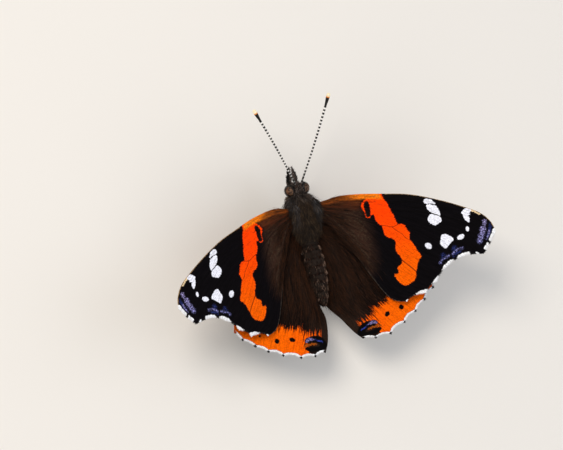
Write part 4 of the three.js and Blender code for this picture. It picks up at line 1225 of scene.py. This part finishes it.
for kind in ("fore", "hind"):
    for name, side in sides.items():
        share = hairShares(kind, wingHair[kind]["count"])
        roots, normals, outward, plan = onWing(kind, side, share)
        hue = tones(["#1a100b", "#2c1a11", "#110b08", "#442919", "#57341f"], len(roots))
        if kind == "fore":
            warm = tones(["#7a3f18", "#9a5a26", "#4d2610"], len(roots))
            hue = blend(hue, warm, 1 - ease(share[:, 1], 0.12, 0.35))
        patches = 0.01 + 0.98 * share
        target = (f"{kind}wing_scales", f"{kind}wing_{name}")
        growTufts(f"{kind}wing_hair_{name}", roots, normals, outward, hue, patches, wingHair[kind],
                  hairSkin, *target)

        wing, surface = surfaces[kind]
        edge = outerEdge(wing)
        length = np.linalg.norm(np.diff(edge, axis=0), axis=1).sum()
        spots = evenly(edge, int(length / fringe["step"]))
        way = unit(np.gradient(spots, axis=0))
        out = np.stack([way[:, 1], -way[:, 0]], 1)
        out = out * np.sign(np.sum(out * (spots - np.array(wing["inner"][-1])), 1))[:, None]
        share = np.stack([np.ones(len(spots)), np.linspace(0, 1, len(spots))], 1)
        roots = surface(spots - out * fringe["rootIn"], share, np.zeros(len(spots)), side)
        tips = surface(spots + out, share, np.zeros(len(spots)), side)
        lie = unit(tips - roots)
        normals = np.tile([0, 0, 1.0], (len(spots), 1))
        inWhite = fringeField(spots - out * fringe["whiteIn"], kind)
        inWhite = inWhite + chance.normal(0, 0.05, len(spots))
        isWhite = ease(inWhite, -0.05, 0.05)[:, None]
        hue = rgb("#0b0808") * (1 - isWhite) + rgb("#f4f5f8") * isWhite
        patches = np.stack([0.01 + 0.98 * share[:, 1], np.full(len(spots), 0.5)], 1)
        growTufts(f"{kind}wing_fringe_{name}", roots, normals, lie, hue, patches, fringe, fringeSkin,
                  *target)
        settle(wings[kind, name], *target)
print("wing hair made")

# Floor, light and camera

stage = {"size": 1.2, "colour": "#e9e7e3", "roughness": 0.8, "sky": "#f4f5f7", "skyPower": 0.5}
bm = bmesh.new()
bmesh.ops.create_grid(bm, x_segments=1, y_segments=1, size=stage["size"] / 2)
addNode, close = newMaterial("floor_matt_paint")
paint = close({"Base Color": colour(stage["colour"]), "Roughness": stage["roughness"]})
floor = addObject("floor", toMesh(bm, "floor"), [paint])

lights = {
    "key": {"at": (0.22, -0.2, 0.42), "size": 0.22, "power": 1.45, "colour": "#fff4e6"},
    "fill": {"at": (-0.4, 0.05, 0.35), "size": 0.4, "power": 0.6, "colour": "#e8f0ff"},
    "rear": {"at": (0.05, 0.4, 0.3), "size": 0.3, "power": 0.5, "colour": "#fff8f0"},
}
for name, light in lights.items():
    lamp = bpy.data.lights.new(name, "AREA")
    lamp.energy = light["power"]
    lamp.size = light["size"]
    lamp.color = colour(light["colour"])[:3]
    holder = bpy.data.objects.new(name, lamp)
    holder.location = light["at"]
    holder.rotation_euler = (-Vector(light["at"])).to_track_quat("-Z", "Y").to_euler()
    bpy.context.scene.collection.objects.link(holder)
world = bpy.data.worlds.new("studio")
world.use_nodes = True
sky = world.node_tree.nodes["Background"].inputs
sky[0].default_value = colour(stage["sky"])
sky[1].default_value = stage["skyPower"]
bpy.context.scene.world = world
bpy.context.scene.view_settings.view_transform = "Standard"

# The photo looks square on to the right forewing, rolled a little, from far off.
view = {
    "roll": 13.4,  # degrees
    "perMm": 5.93,  # pixels of the photo for each millimetre
    "frame": (563, 450), "bodyAt": (300.3, 205.4),  # pixel of the body's origin
    "distance": 700, "sensor": 36,
}
tilt, roll = math.radians(foreWing["rise"]), math.radians(view["roll"])
toCamera = Vector((math.sin(tilt), 0, math.cos(tilt)))
level = Vector((-math.cos(tilt), 0, math.sin(tilt)))
ahead = Vector((0, -1, 0))
right = level * math.cos(roll) - ahead * math.sin(roll)
up = level * math.sin(roll) + ahead * math.cos(roll)
across = (view["frame"][0] / 2 - view["bodyAt"][0]) / view["perMm"]
above = (view["bodyAt"][1] - view["frame"][1] / 2) / view["perMm"]
spot = right * across + up * above + toCamera * view["distance"]
camera = bpy.data.objects.new("camera", bpy.data.cameras.new("camera"))
bpy.context.scene.collection.objects.link(camera)
axes = Matrix([turn @ right, turn @ up, turn @ toCamera]).transposed()
camera.matrix_world = Matrix.Translation(origin + turn @ spot * mm) @ axes.to_4x4()
camera.data.sensor_width = view["sensor"]
camera.data.lens = view["sensor"] * view["distance"] * view["perMm"] / view["frame"][0]
camera.data.clip_end = 10
camera.data.clip_start = 0.01
bpy.context.scene.camera = camera
